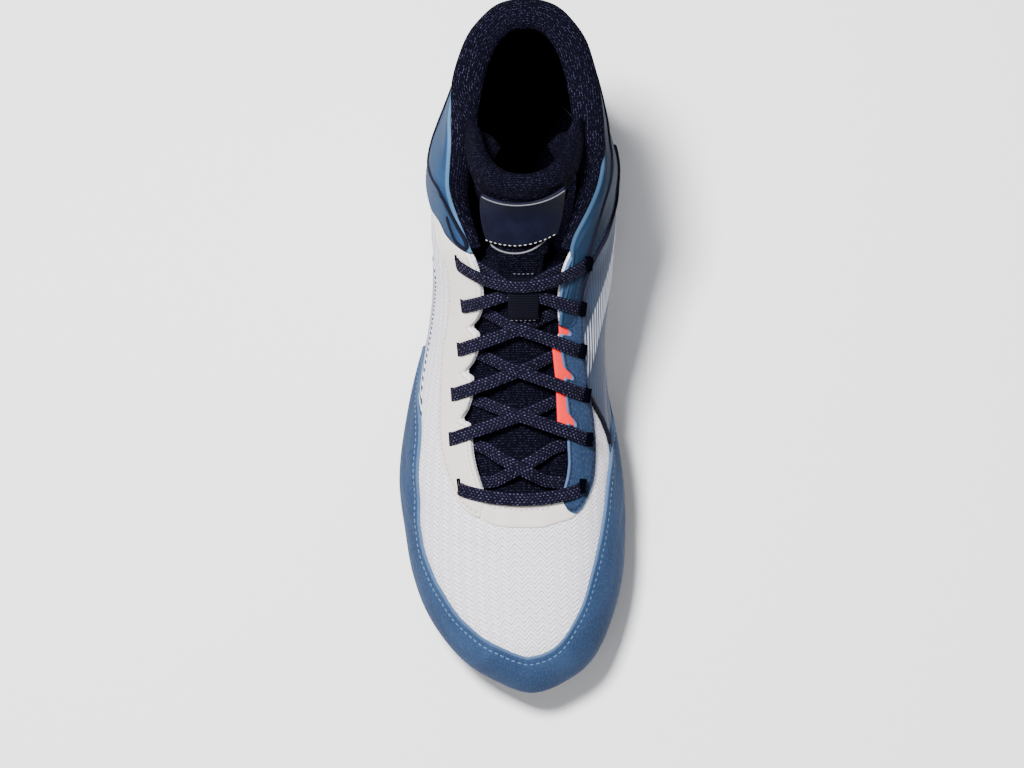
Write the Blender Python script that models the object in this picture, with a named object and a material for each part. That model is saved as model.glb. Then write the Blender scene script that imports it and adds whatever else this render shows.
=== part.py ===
"""A right wrestling shoe, modelled as its maker puts it together: outsole, insole, one hollow upper,
the overlays stitched on it, a padded collar, a padded tongue and flat laces.

Sizes are in millimetres. The toe points along -Y, +X is the medial side and the ground is Z = 0.
"""

import math

import bmesh
import bpy
import numpy as np

MM = 0.001

# Driving sizes of the shoe
SHOE_LENGTH = 281.5
HEEL_BACK = 41.5
BALL_WIDTH = 94.3
ANKLE_WIDTH = 79.5
INSTEP_HEIGHT = 96.0
SHAFT_HEIGHT = 142.0
TOE_SPRING = 12.0
FLOOR_AT_BALL = 7.0
HEEL_RAISE = 3.0
ARCH_LIFT = 2.5
LUG_DEPTH = 1.6

# Walls, layers and the clearance between pieces that meet
UPPER_WALL = 2.2
OVERLAY_WALL = 1.0
CLEARANCE = 0.4
OVERLAY_GAP = 0.65
SIDEWALL = 1.6
CORNER_DROP = 2.5
INSOLE_THICKNESS = 3.5
COLLAR_THICKNESS = 7.0
COLLAR_ROLL = 5.0
LABEL_WALL = 0.8
LACE_WIDTH = 6.2
LACE_THICKNESS = 1.4
EYELET_WIDTH = 6.8
EYELET_SLIT = 2.6
SCALLOP_DEPTH = 3.4
KEEPER_WALL = 1.0

# Where the ball and the heel seat lie, as shares of the length from the heel's back
BALL_AT = 0.715
HEEL_SEAT_AT = 0.36

# The last. A row holds the ridge point (at: share of SHOE_LENGTH ahead of the heel's back, rise: share
# of INSTEP_HEIGHT), the bottom point (at), the half widths to each side of the middle and the
# sideways place of middle and ridge (shares of BALL_WIDTH), the height of the widest point as a share
# of the section's height on each side, the roundness above and below it and the pinch of the waist.
LAST_COLUMNS = ("top_at", "rise", "bottom_at", "lateral", "medial", "middle", "ridge",
                "wide_lateral", "wide_medial", "round_top", "round_bottom", "pinch")
FOOT_ROWS = (
    (1.000, 0.275, 1.000, 0.000, 0.000, 0.025, 0.025, 0.50, 0.50, 2.0, 2.0, 0.00),
    (0.986, 0.370, 0.977, 0.152, 0.152, 0.020, 0.020, 0.48, 0.48, 2.0, 2.0, 0.00),
    (0.951, 0.458, 0.942, 0.292, 0.294, 0.000, 0.005, 0.40, 0.40, 2.2, 2.4, 0.00),
    (0.887, 0.515, 0.882, 0.403, 0.401, -0.028, -0.010, 0.34, 0.34, 2.3, 3.0, 0.00),
    (0.817, 0.562, 0.817, 0.465, 0.465, -0.046, -0.018, 0.30, 0.30, 2.3, 3.6, 0.00),
    (0.743, 0.630, 0.743, 0.492, 0.492, -0.062, -0.020, 0.26, 0.26, 2.2, 4.0, 0.00),
    (0.669, 0.724, 0.655, 0.500, 0.500, -0.083, -0.020, 0.22, 0.24, 2.1, 4.0, 0.00),
    (0.593, 0.844, 0.546, 0.461, 0.450, -0.085, -0.018, 0.22, 0.36, 2.0, 4.0, 0.00),
    (0.521, 1.000, 0.426, 0.420, 0.398, -0.058, -0.016, 0.30, 0.56, 2.0, 4.2, 0.02),
)
# The shaft. A row holds the front point (at, and rise as a share of the way from INSTEP_HEIGHT up to
# SHAFT_HEIGHT), the back or heel point (at, and height as a share of SHAFT_HEIGHT), the half widths,
# the sideways places (shares of ANKLE_WIDTH) and the same shape columns as the last's.
SHAFT_COLUMNS = ("top_at", "rise", "back_at", "back_height", "lateral", "medial", "middle", "ridge",
                 "wide_lateral", "wide_medial", "round_top", "round_bottom", "pinch")
SHAFT_ROWS = (
    (0.468, 0.285, 0.292, 0.053, 0.487, 0.480, -0.034, -0.016, 0.46, 0.64, 1.9, 4.6, 0.08),
    (0.426, 0.540, 0.151, 0.053, 0.500, 0.490, -0.014, -0.014, 0.60, 0.66, 1.9, 4.8, 0.14),
    (0.408, 0.660, 0.035, 0.074, 0.505, 0.497, -0.008, -0.012, 0.61, 0.64, 1.9, 3.2, 0.17),
    (0.393, 0.775, 0.002, 0.225, 0.507, 0.500, -0.006, -0.010, 0.61, 0.62, 1.9, 2.4, 0.14),
    (0.373, 0.925, 0.016, 0.507, 0.476, 0.472, 0.000, -0.004, 0.64, 0.64, 2.0, 2.1, 0.05),
    (0.359, 1.070, 0.032, 0.760, 0.410, 0.410, 0.009, 0.004, 0.66, 0.66, 2.1, 2.2, 0.00),
    (0.349, 1.200, 0.035, 1.000, 0.378, 0.378, 0.012, 0.012, 0.67, 0.67, 2.1, 2.4, 0.00),
)
PINCH_AT = 0.28
PINCH_REACH = 0.18

# The top line: the collar from the heel's back to the throat's corner, then the throat's edge to its
# end. A row holds the share of the way from heel to toe, the station and the angle from the ridge.
TOP_LINE_COLUMNS = ("way", "station", "angle")
TOP_LINE = (
    (0.00, 15.00, 180.0),
    (0.06, 14.95, 150.0),
    (0.12, 14.82, 125.0),
    (0.18, 14.60, 104.0),
    (0.24, 14.10, 83.0),
    (0.29, 13.30, 65.0),
    (0.34, 12.20, 50.0),
    (0.38, 11.05, 38.5),
    (0.42, 10.10, 30.0),
    (0.48, 9.25, 25.0),
    (0.55, 8.20, 25.5),
    (0.62, 7.15, 27.0),
    (0.68, 6.25, 25.0),
    (0.74, 5.60, 21.0),
    (0.83, 5.20, 16.0),
    (0.92, 5.05, 8.5),
    (1.00, 5.00, 0.0),
)
COLLAR_END = 0.40

# Pattern lines of the overlays, in millimetres along the wall: how far the lower overlays (toe rand,
# heel counter) reach up from the feather edge, and the upper ones (eyestays, ankle panels, vamp bar)
# down from the top line.
LINE_COLUMNS = ("way", "low_lateral", "low_medial", "high_lateral", "high_medial")
PATTERN_LINES = (
    (0.00, 50.0, 50.0, 20.0, 20.0),
    (0.12, 45.0, 45.0, 21.0, 21.0),
    (0.24, 35.0, 35.0, 23.0, 23.0),
    (0.34, 24.0, 24.0, 25.0, 25.0),
    (0.42, 21.0, 18.0, 24.5, 21.0),
    (0.50, 31.0, 21.0, 26.0, 22.0),
    (0.56, 40.0, 26.0, 25.5, 23.0),
    (0.62, 46.0, 39.0, 23.0, 23.6),
    (0.66, 42.5, 46.0, 20.0, 22.5),
    (0.70, 39.5, 50.0, 17.3, 19.3),
    (0.75, 42.7, 53.5, 14.2, 16.3),
    (0.80, 45.3, 53.0, 10.5, 12.3),
    (0.85, 45.0, 49.0, 9.6, 10.3),
    (0.90, 39.0, 39.8, 9.2, 9.7),
    (0.95, 31.8, 31.2, 8.8, 9.0),
    (1.00, 29.0, 29.0, 8.4, 8.4),
)

# Height of the cup's side along the wall above the feather edge
RISE_COLUMNS = ("way", "lateral", "medial")
SIDEWALL_RISE = (
    (0.00, 8.0, 8.0),
    (0.35, 7.0, 8.0),
    (0.60, 5.5, 8.0),
    (0.80, 4.5, 6.0),
    (1.00, 4.0, 4.0),
)

# The tongue: half its spread as an angle from the ridge, the offset of its face from the last at the
# middle and its thickness, at stations from its stitched end up to its roll. Beside the collar its face
# keeps to TONGUE_SIDE, from TONGUE_CLEAR_ANGLE (degrees) inside the top line on.
TONGUE_COLUMNS = ("station", "half_angle", "centre", "thickness")
TONGUE_ROWS = (
    (4.5, 18.0, -5.0, 3.0),
    (6.0, 36.0, -5.0, 4.5),
    (8.0, 38.0, -5.0, 4.5),
    (9.5, 38.0, -5.0, 4.5),
    (10.5, 44.0, -4.2, 4.8),
    (12.0, 62.0, -5.4, 6.0),
    (13.0, 78.0, -7.0, 7.5),
    (14.2, 94.0, -6.0, 9.0),
    (15.4, 98.0, -5.5, 9.0),
)
TONGUE_SIDE = -12.7
TONGUE_CLEAR_ANGLE = 31.0
LACE_OVER_TONGUE = -0.8

# Grid of the wall: columns on each side behind the eyelets, at each scallop and ahead of them, rows
# between the pattern's two lines, and cells across the sole
HEEL_COLUMNS = 11
SCALLOP_COLUMNS = 4
TOE_COLUMNS = 7
BETWEEN_ROWS = 3
SEAM_LAP = 0.0025
SOLE_BREADTH = 5
LUG_PITCH = 13.0
LUG_TAPER = 1.3
TREAD_AHEAD_OF = 0.56
TREAD_BEHIND = 0.32
ARCH_AT = 0.44
ARCH_REACH = 26.0

# Colour (linear) and roughness of each piece, by the start of its name
LOOKS = {
    "outsole": ((0.004, 0.004, 0.008), 0.55),
    "insole": ((0.010, 0.010, 0.021), 0.90),
    "upper": ((0.716, 0.700, 0.791), 0.85),
    "toe_rand": ((0.050, 0.107, 0.235), 0.80),
    "heel_counter": ((0.050, 0.107, 0.235), 0.80),
    "eyestay_lateral": ((0.716, 0.665, 0.644), 0.60),
    "eyestay_medial": ((0.050, 0.107, 0.235), 0.70),
    "vamp_bar": ((0.716, 0.665, 0.644), 0.60),
    "ankle_panel": ((0.060, 0.150, 0.340), 0.65),
    "side_panel": ((0.300, 0.380, 0.520), 0.60),
    "throat_trim": ((1.000, 0.102, 0.091), 0.60),
    "collar_padding": ((0.007, 0.007, 0.021), 0.90),
    "tongue": ((0.007, 0.007, 0.021), 0.90),
    "lace": ((0.007, 0.007, 0.021), 0.85),
}

# Overlays on the wall: name, first and last lap round the shoe (0 heel, 1 toe by the medial side, -1
# toe by the lateral side), and the pattern line that bounds it
OVERLAYS = (
    ("toe_rand", -0.50, -1.48, "low"),
    ("heel_counter", 0.32, -0.32, "low"),
    ("eyestay_lateral", -0.40, -0.80, "high"),
    ("eyestay_medial", 0.80, 0.40, "high"),
    ("vamp_bar", 1.20, 0.80, "high"),
    ("ankle_panel_lateral", 0.0, -0.40, "high"),
    ("ankle_panel_medial", 0.40, 0.0, "high"),
    ("side_panel_lateral", -0.39, -0.50, "side"),
    ("side_panel_medial", 0.48, 0.38, "side"),
)

# Eyelets: the station of each pair, from the toe up, and how far they lie from the throat's edge
EYELET_STATIONS = (5.50, 6.37, 7.15, 7.92, 8.83, 9.93)
EYELET_INSET = 10.0
THROAT_STOP = 5.0


def clear_scene():
    """Removes every object and leaves one collection for the shoe and one for the cutters."""
    for item in list(bpy.data.objects):
        bpy.data.objects.remove(item)
    groups = []
    for name in ("wrestling_shoe", "cutters"):
        group = bpy.data.collections.new(name)
        bpy.context.scene.collection.children.link(group)
        groups.append(group)
    return groups


SHOE, CUTTERS = clear_scene()


def through_rows(rows, place):
    """Catmull-Rom curve through the rows of a table at fractional row numbers."""
    rows = np.asarray(rows, float)
    place = np.clip(place, 0.0, len(rows) - 1.0)
    first = np.minimum(np.floor(place).astype(int), len(rows) - 2)
    t = (place - first)[..., None]
    padded = np.vstack([2 * rows[0] - rows[1], rows, 2 * rows[-1] - rows[-2]])
    before, here, after, later = (padded[first + k] for k in range(4))
    return 0.5 * (2 * here + (after - before) * t + (2 * before - 5 * here + 4 * after - later) * t**2
                  + (3 * here - before - 3 * after + later) * t**3)


def between(x, xs, ys):
    """Smooth curve through (xs, ys): Hermite pieces with the slopes of the neighbouring chords."""
    xs, ys = np.asarray(xs, float), np.asarray(ys, float)
    slopes = np.gradient(ys, xs)
    x = np.clip(x, xs[0], xs[-1])
    i = np.clip(np.searchsorted(xs, x, side="right") - 1, 0, len(xs) - 2)
    width = xs[i + 1] - xs[i]
    t = (x - xs[i]) / width
    return ((2 * t**3 - 3 * t**2 + 1) * ys[i] + (t**3 - 2 * t**2 + t) * width * slopes[i]
            + (3 * t**2 - 2 * t**3) * ys[i + 1] + (t**3 - t**2) * width * slopes[i + 1])


def ease(x):
    """0 below 0, 1 above 1, and a smooth step between."""
    x = np.clip(x, 0.0, 1.0)
    return x * x * (3 - 2 * x)


def along(share):
    """Y of a share of the shoe's length ahead of the heel's back."""
    return HEEL_BACK - share * SHOE_LENGTH


def spring(y):
    """Lift of the toe: a parabola ahead of the ball."""
    ahead = np.clip((along(BALL_AT) - y) / ((1 - BALL_AT) * SHOE_LENGTH), 0, None)
    return TOE_SPRING * ahead**2


def floor_height(y):
    """Height of the cup's floor, on which upper and insole stand."""
    back = ease((y - along(BALL_AT)) / ((BALL_AT - HEEL_SEAT_AT) * SHOE_LENGTH))
    return FLOOR_AT_BALL + HEEL_RAISE * back + spring(y)


def last_sections():
    """The table of sections in millimetres, one row per station, toe tip first."""
    rows = []
    for values in FOOT_ROWS:
        row = dict(zip(LAST_COLUMNS, values))
        bottom_y = along(row["bottom_at"])
        bottom_z = floor_height(bottom_y) - CORNER_DROP
        if row["lateral"] == 0:
            bottom_z = row["rise"] * INSTEP_HEIGHT
        rows.append([along(row["top_at"]), row["rise"] * INSTEP_HEIGHT, bottom_y, bottom_z]
                    + [row[k] * BALL_WIDTH for k in LAST_COLUMNS[3:7]]
                    + [row[k] for k in LAST_COLUMNS[7:]])
    for values in SHAFT_ROWS:
        row = dict(zip(SHAFT_COLUMNS, values))
        front_z = INSTEP_HEIGHT + row["rise"] * (SHAFT_HEIGHT - INSTEP_HEIGHT)
        rows.append([along(row["top_at"]), front_z, along(row["back_at"]),
                     row["back_height"] * SHAFT_HEIGHT]
                    + [row[k] * ANKLE_WIDTH for k in SHAFT_COLUMNS[4:8]]
                    + [row[k] for k in SHAFT_COLUMNS[8:]])
    rows = np.array(rows)
    # The row before the toe tip mirrors the one after it, so that the toe closes round
    mirrored = rows[1].copy()
    mirrored[0:4] = rows[1][[2, 3, 0, 1]]
    mirrored[4:6] *= -1
    # One row above the collar, so that its padding can roll over the top line
    above = 2 * rows[-1] - rows[-2]
    return np.vstack([mirrored, rows, above])


SECTIONS = last_sections()


def last_point(station, angle):
    """Point of the last at a station and an angle from the ridge, medial side positive."""
    values = through_rows(SECTIONS, np.asarray(station) + 1.0)
    (top_y, top_z, low_y, low_z, lateral, medial, middle, ridge,
     wide_lateral, wide_medial, round_top, round_bottom, pinch) = np.moveaxis(values, -1, 0)
    inner = np.asarray(angle) > 0
    width = np.where(inner, medial, lateral)
    wide = np.where(inner, wide_medial, wide_lateral)
    turn = np.abs(angle)
    above = turn < math.pi / 2
    power = np.where(above, round_top, round_bottom)
    reach = (np.abs(np.sin(turn))**power + np.abs(np.cos(turn))**power)**(1 / power)
    out, up = np.sin(turn) / reach, np.cos(turn) / reach
    share = np.where(above, wide + (1 - wide) * up, wide * (1 + up))
    narrowed = 1 - pinch * np.exp(-((share - PINCH_AT) / PINCH_REACH)**2)
    x = middle + (ridge - middle) * share**2 + np.where(inner, 1, -1) * width * out * narrowed
    return np.stack([x, low_y + (top_y - low_y) * share, low_z + (top_z - low_z) * share], -1)


def flat_place(station, angle):
    """The last laid out as a disc round its toe tip: (ahead, aside) from station and angle."""
    return np.stack([station * np.cos(angle), station * np.sin(angle)], -1)


def on_last(place, offset=0.0):
    """Point of the last, moved out along its normal, at a place of the disc."""
    def point(p):
        return last_point(np.hypot(p[..., 0], p[..., 1]), np.arctan2(p[..., 1], p[..., 0]))

    step = 0.02
    ahead, aside = np.array([step, 0.0]), np.array([0.0, step])
    normal = np.cross(point(place + aside) - point(place - aside), point(place + ahead) - point(place - ahead))
    normal /= np.linalg.norm(normal, axis=-1, keepdims=True)
    return point(place) + normal * np.asarray(offset)[..., None]


def feather_angle(station, side):
    """Angle at which the wall meets the floor of the cup, found by halving."""
    low, high = np.full_like(station, math.pi / 2), np.full_like(station, math.pi)
    for _ in range(40):
        middle = (low + high) / 2
        p = last_point(station, side * middle)
        over = p[..., 2] > floor_height(p[..., 1]) + CLEARANCE
        low, high = np.where(over, middle, low), np.where(over, high, middle)
    return low


def feather_ends():
    """First and last station whose bottom point lies below the floor of the cup."""
    station = np.linspace(0.3, 12.5, 2000)
    p = last_point(station, np.full_like(station, math.pi))
    under = station[p[:, 2] < floor_height(p[:, 1]) + CLEARANCE]
    return under[0], under[-1]


def feather_line():
    """Stations spread evenly by length from heel to toe along the lateral feather edge."""
    toe, heel = feather_ends()
    turn = np.linspace(0, math.pi, 400)
    station = (heel + toe) / 2 + (heel - toe) / 2 * np.cos(turn)
    p = last_point(station, -feather_angle(station, -1))
    length = np.concatenate([[0], np.cumsum(np.linalg.norm(np.diff(p, axis=0), axis=1))])
    return length / length[-1], station


FEATHER_WAY, FEATHER_STATION = feather_line()


def place_on_wall(lap, height):
    """Place on the disc of a point of the wall. lap runs round the shoe from the heel (0) to the toe:
    1 by the medial side, -1 by the lateral one. height runs from the feather edge (0) to the top line
    (1), and straight on above it."""
    lap, height = np.broadcast_arrays(np.asarray(lap, float), np.asarray(height, float))
    lap = (lap + 1) % 2 - 1
    way, side = np.abs(lap), np.where(lap < 0, -1.0, 1.0)
    table = dict(zip(TOP_LINE_COLUMNS, np.array(TOP_LINE).T))
    low_station = np.interp(way, FEATHER_WAY, FEATHER_STATION)
    low_angle = np.where((way < 1e-6) | (way > 1 - 1e-6), math.pi, feather_angle(low_station, side))
    top_station = between(way, table["way"], table["station"])
    top_angle = np.radians(between(way, table["way"], table["angle"]))
    low_place = flat_place(low_station, low_angle)
    straight = low_place + (flat_place(top_station, top_angle) - low_place) * height[..., None]
    turned = flat_place(low_station + (top_station - low_station) * height,
                        low_angle + (top_angle - low_angle) * height)
    place = turned + (straight - turned) * ease((way - 0.55) / 0.35)[..., None]
    place[..., 1] *= side
    return place


def wall_length(lap, samples=48):
    """Heights from 0 to 1 and the lengths up the wall to them, one row for each lap."""
    height = np.linspace(0, 1, samples)
    points = on_last(place_on_wall(np.asarray(lap)[:, None], height))
    steps = np.linalg.norm(np.diff(points, axis=1), axis=2)
    return height, np.concatenate([np.zeros((len(points), 1)), np.cumsum(steps, axis=1)], axis=1)


def height_at(lap, up=None, down=None):
    """Height of a point a length (mm) up from the feather edge or down from the top line. A negative
    length down lies above the top line."""
    lap = np.asarray(lap, float)
    height, length = wall_length(lap)
    wanted = np.broadcast_to(up if down is None else length[:, -1] - down, lap.shape)
    found = np.array([np.interp(w, l, height) for w, l in zip(wanted, length)])
    return np.where(wanted > length[:, -1], 1 + (wanted - length[:, -1]) / length[:, -1], found)


def line_at(lap, name):
    """Length of a pattern line (low or high) at a lap round the shoe."""
    lap = (np.asarray(lap, float) + 1) % 2 - 1
    table = dict(zip(LINE_COLUMNS, np.array(PATTERN_LINES).T))
    return np.where(lap < 0, between(np.abs(lap), table["way"], table[name + "_lateral"]),
                    between(np.abs(lap), table["way"], table[name + "_medial"]))


def eyelet_ways():
    """Way of each eyelet pair: where the throat's edge passes its station."""
    table = dict(zip(TOP_LINE_COLUMNS, np.array(TOP_LINE).T))
    way = np.linspace(0.4, 0.86, 400)
    return np.interp(-np.array(EYELET_STATIONS), -between(way, table["way"], table["station"]), way)


EYELET_WAYS = eyelet_ways()


def scallop(way):
    """Depth of the throat's edge at a way: a hollow between each two eyelets of the row."""
    phase = np.interp(way, EYELET_WAYS[::-1], np.arange(len(EYELET_WAYS)))
    inside = (way > EYELET_WAYS[-1]) & (way < EYELET_WAYS[0])
    return np.where(inside, SCALLOP_DEPTH * (0.5 - 0.5 * np.cos(2 * math.pi * phase)), 0.0)


def material_of(name):
    """Principled material of a piece, named for it."""
    colour, roughness = next(look for key, look in LOOKS.items() if name.startswith(key))
    material = bpy.data.materials.new(name)
    material.use_nodes = True
    shader = material.node_tree.nodes["Principled BSDF"]
    shader.inputs["Base Color"].default_value = (*colour, 1.0)
    shader.inputs["Roughness"].default_value = roughness
    shader.inputs["Metallic"].default_value = 0.0
    return material


def add_solid(name, points, faces, group=None, shape=None):
    """Mesh object in metres from points in millimetres and faces, its normals turned outward. shape
    works on the mesh first, while its faces still have the order given."""
    mesh = bpy.data.meshes.new(name)
    mesh.from_pydata([tuple(p) for p in np.asarray(points, float) * MM], [], [tuple(f) for f in faces])
    work = bmesh.new()
    work.from_mesh(mesh)
    if shape:
        work.faces.ensure_lookup_table()
        shape(work)
    bmesh.ops.remove_doubles(work, verts=work.verts, dist=2e-6)
    bmesh.ops.triangulate(work, faces=work.faces)
    bmesh.ops.recalc_face_normals(work, faces=work.faces)
    work.to_mesh(mesh)
    work.free()
    item = bpy.data.objects.new(name, mesh)
    (group or SHOE).objects.link(item)
    if group is None:
        item.data.materials.append(material_of(name))
    return item


def tube_faces(columns, rows, closed_columns, closed_rows):
    """Triangles of a grid of points that may close on itself either way, split as a shell's are."""
    faces = []
    for i in range(columns if closed_columns else columns - 1):
        for j in range(rows if closed_rows else rows - 1):
            a, b = i * rows, (i + 1) % columns * rows
            k = (j + 1) % rows
            faces += [[a + j, b + j, b + k], [a + j, b + k, a + k]]
    return faces


def shell(name, place, outer, inner, closed=False):
    """Solid between two offsets of the last over a grid of places, its edges square. closed joins the
    last column to the first. Every quad is split along the same diagonal, so that solids on the same
    grid keep their distance."""
    columns, rows = place.shape[:2]
    outside = on_last(place, np.broadcast_to(outer, place.shape[:2]))
    inside = on_last(place, np.broadcast_to(inner, place.shape[:2]))
    points = np.concatenate([outside.reshape(-1, 3), inside.reshape(-1, 3)])
    back = columns * rows
    faces = []
    for i in range(columns if closed else columns - 1):
        a, b = i * rows, (i + 1) % columns * rows
        for j in range(rows - 1):
            faces += [[a + j, b + j, b + j + 1], [a + j, b + j + 1, a + j + 1]]
            faces += [[back + b + j, back + a + j, back + b + j + 1],
                      [back + b + j + 1, back + a + j, back + a + j + 1]]
        for j, turn in ((0, 1), (rows - 1, -1)):
            faces.append([b + j, a + j, back + a + j, back + b + j][::turn])
    if not closed:
        for i, turn in ((0, -1), (columns - 1, 1)):
            for j in range(rows - 1):
                a = i * rows + j
                faces.append([a, a + 1, back + a + 1, back + a][::turn])
    return add_solid(name, points, faces)


def band(name, laps, heights, base=OVERLAY_GAP, wall=OVERLAY_WALL):
    """Overlay on the wall: one array of heights for each of its rows, from the lowest up."""
    height = np.stack(np.broadcast_arrays(*heights), axis=1)
    return shell(name, place_on_wall(laps[:, None], height), base + wall, base)


def cut(item, cutter, operation="DIFFERENCE"):
    """Applies a Boolean with another mesh object, which is then removed."""
    step = item.modifiers.new("cut", "BOOLEAN")
    step.operation, step.object, step.solver = operation, cutter, "EXACT"
    bpy.context.view_layer.update()
    result = bpy.data.meshes.new_from_object(item.evaluated_get(bpy.context.evaluated_depsgraph_get()))
    item.modifiers.clear()
    item.data = result
    bpy.data.objects.remove(cutter)


def capped(rings, breadth):
    """Points and faces of a solid made of rings round the shoe (first and last are closed by cross
    strips) and the numbers of the first cap's quads. Every ring starts at the heel and passes the lateral
    side, the toe and the medial side."""
    count = len(rings[0])
    half = count // 2
    points = list(np.concatenate(rings))
    faces = []
    for r in range(len(rings) - 1):
        for i in range(count):
            k = (i + 1) % count
            faces += [[r * count + i, r * count + k, (r + 1) * count + i],
                      [r * count + k, (r + 1) * count + k, (r + 1) * count + i]]
    first_cap = []
    for start in (0, (len(rings) - 1) * count):
        strips = []
        for i in range(1, half):
            a, b = start + i, start + count - i
            strip = [a]
            for j in range(1, breadth):
                share = j / breadth
                strip.append(len(points))
                points.append(points[a] * (1 - share) + points[b] * share)
            strips.append(strip + [b])
        cells = [[strips[i][j], strips[i][j + 1], strips[i + 1][j + 1], strips[i + 1][j]]
                 for i in range(len(strips) - 1) for j in range(breadth)]
        ends = [[start, strips[0][j + 1], strips[0][j]] for j in range(breadth)]
        ends += [[start + half, strips[-1][j], strips[-1][j + 1]] for j in range(breadth)]
        first_cap = first_cap or [len(faces) + k for k in range(len(cells))]
        faces += cells + ends
    return np.array(points), faces, first_cap


def wall_ways():
    """Columns from heel to toe, closer along the eyelets, where the throat's edge is scalloped."""
    steps = SCALLOP_COLUMNS * (len(EYELET_WAYS) - 1)
    eyelets = np.interp(np.arange(steps + 1) / SCALLOP_COLUMNS, np.arange(len(EYELET_WAYS)),
                        EYELET_WAYS[::-1])
    return np.concatenate([np.linspace(0, eyelets[0], HEEL_COLUMNS + 1)[:-1], eyelets,
                           np.linspace(eyelets[-1], 1, TOE_COLUMNS + 1)[1:]])


def ring_laps():
    """Laps of the columns once round the shoe, from the heel by the lateral side and the toe."""
    way = wall_ways()
    return np.concatenate([-way, way[1:-1][::-1]])


def laps_between(first, last):
    """Laps of the columns from the one nearest first down to the one nearest last, drawn in a little
    at both ends so that pieces that meet keep a seam's width apart."""
    way = wall_ways()
    every = np.unique(np.concatenate([way - 2, -way, way, 2 - way]).round(9))[::-1]
    start, end = (np.argmin(np.abs(every - lap)) for lap in (first, last))
    laps = every[start:end + 1]
    laps[[0, -1]] += [-SEAM_LAP, SEAM_LAP]
    return laps


def wall_rows(laps):
    """Heights of the wall's rows: feather edge, cup's edge, low line and high line of the pattern and
    the steps between them, and the top line with its scallops."""
    rise, low, high = sidewall_rise(laps), line_at(laps, "low"), line_at(laps, "high")
    length = wall_length(laps)[1][:, -1]
    edge = height_at(laps, down=scallop(np.abs(laps)))
    between_lines = [height_at(laps, up=low + (length - high - low) * k / BETWEEN_ROWS)
                     for k in range(BETWEEN_ROWS)]
    return ([np.zeros_like(laps), height_at(laps, up=0.45 * rise), height_at(laps, up=rise),
             height_at(laps, up=(rise + low) / 2)] + between_lines
            + [height_at(laps, down=high), (height_at(laps, down=high) + edge) / 2, edge])


def underside(y):
    """Height of the underside between its lugs: toe spring and arch added to the lugs' depth."""
    arch = np.exp(-(((y - along(ARCH_AT)) / ARCH_REACH) ** 2))
    return LUG_DEPTH + ARCH_LIFT * arch + spring(y)


def sidewall_rise(lap):
    """Height of the cup's side above the feather edge: higher on the medial side and at the heel."""
    lap = (np.asarray(lap) + 1) % 2 - 1
    table = dict(zip(RISE_COLUMNS, np.array(SIDEWALL_RISE).T))
    return np.where(lap < 0, between(np.abs(lap), table["way"], table["lateral"]),
                    between(np.abs(lap), table["way"], table["medial"]))


def build_outsole():
    """Cup of rubber: underside with lugs, stepped sidewall and the floor on which the upper stands."""
    laps = ring_laps()
    feather = place_on_wall(laps, 0.0)
    top = place_on_wall(laps, height_at(laps, up=sidewall_rise(laps)))
    step = place_on_wall(laps, height_at(laps, up=0.45 * sidewall_rise(laps)))
    edge = on_last(feather, CLEARANCE + SIDEWALL - 1.2)
    edge[:, 2] = underside(edge[:, 1])
    low = on_last(feather, CLEARANCE + SIDEWALL + 0.3)
    low[:, 2] = np.maximum(low[:, 2] - 2.0, edge[:, 2] + 1.5)
    inner = on_last(feather, CLEARANCE)
    inner[:, 2] = floor_height(inner[:, 1])
    rings = [edge, low, on_last(step, CLEARANCE + SIDEWALL + 0.3), on_last(step, CLEARANCE + SIDEWALL),
             on_last(top, CLEARANCE + SIDEWALL), on_last(top, CLEARANCE), on_last(step, CLEARANCE), inner]
    rings[3][:, 2] += 0.4
    points, faces, under = capped(rings, SOLE_BREADTH)

    def raise_lugs(work):
        """Insets blocks of the underside's cells in a chequer and sinks them to the ground."""
        blocks = {}
        for k, first in enumerate(under):
            column, across = divmod(k, SOLE_BREADTH)
            y = np.mean([v.co.y for v in work.faces[first].verts]) / MM
            share = (HEEL_BACK - y) / SHOE_LENGTH
            block = int(share * SHOE_LENGTH / LUG_PITCH)
            treaded = TREAD_AHEAD_OF < share < 0.97 or 0.03 < share < TREAD_BEHIND
            if treaded and (block + across) % 2 == 1:
                blocks.setdefault((block, across), []).append(work.faces[first])
        for cells in blocks.values():
            bmesh.ops.inset_region(work, faces=cells, thickness=LUG_TAPER * MM, use_even_offset=True)
            corners = {v for cell in cells for v in cell.verts}
            bmesh.ops.translate(work, verts=list(corners), vec=(0, 0, -LUG_DEPTH * MM))

    return add_solid("outsole", points, faces, shape=raise_lugs)


def build_insole():
    """Loose insole that lies on the cup's floor inside the upper."""
    laps = ring_laps()
    outline = on_last(place_on_wall(laps, 0.0), -(UPPER_WALL + 2 * CLEARANCE + 0.2))
    rings = []
    for rise in (CLEARANCE, CLEARANCE + INSOLE_THICKNESS):
        ring = outline.copy()
        ring[:, 2] = floor_height(ring[:, 1]) + rise
        rings.append(ring)
    points, faces, _ = capped(rings, 3)
    return add_solid("insole", points, faces)


def build_upper():
    """Hollow upper: one wall round the foot, open at collar, throat and feather edge."""
    laps = ring_laps()
    height = np.stack(wall_rows(laps), axis=1)
    return shell("upper", place_on_wall(laps[:, None], height), 0.0, -UPPER_WALL, True)


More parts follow.
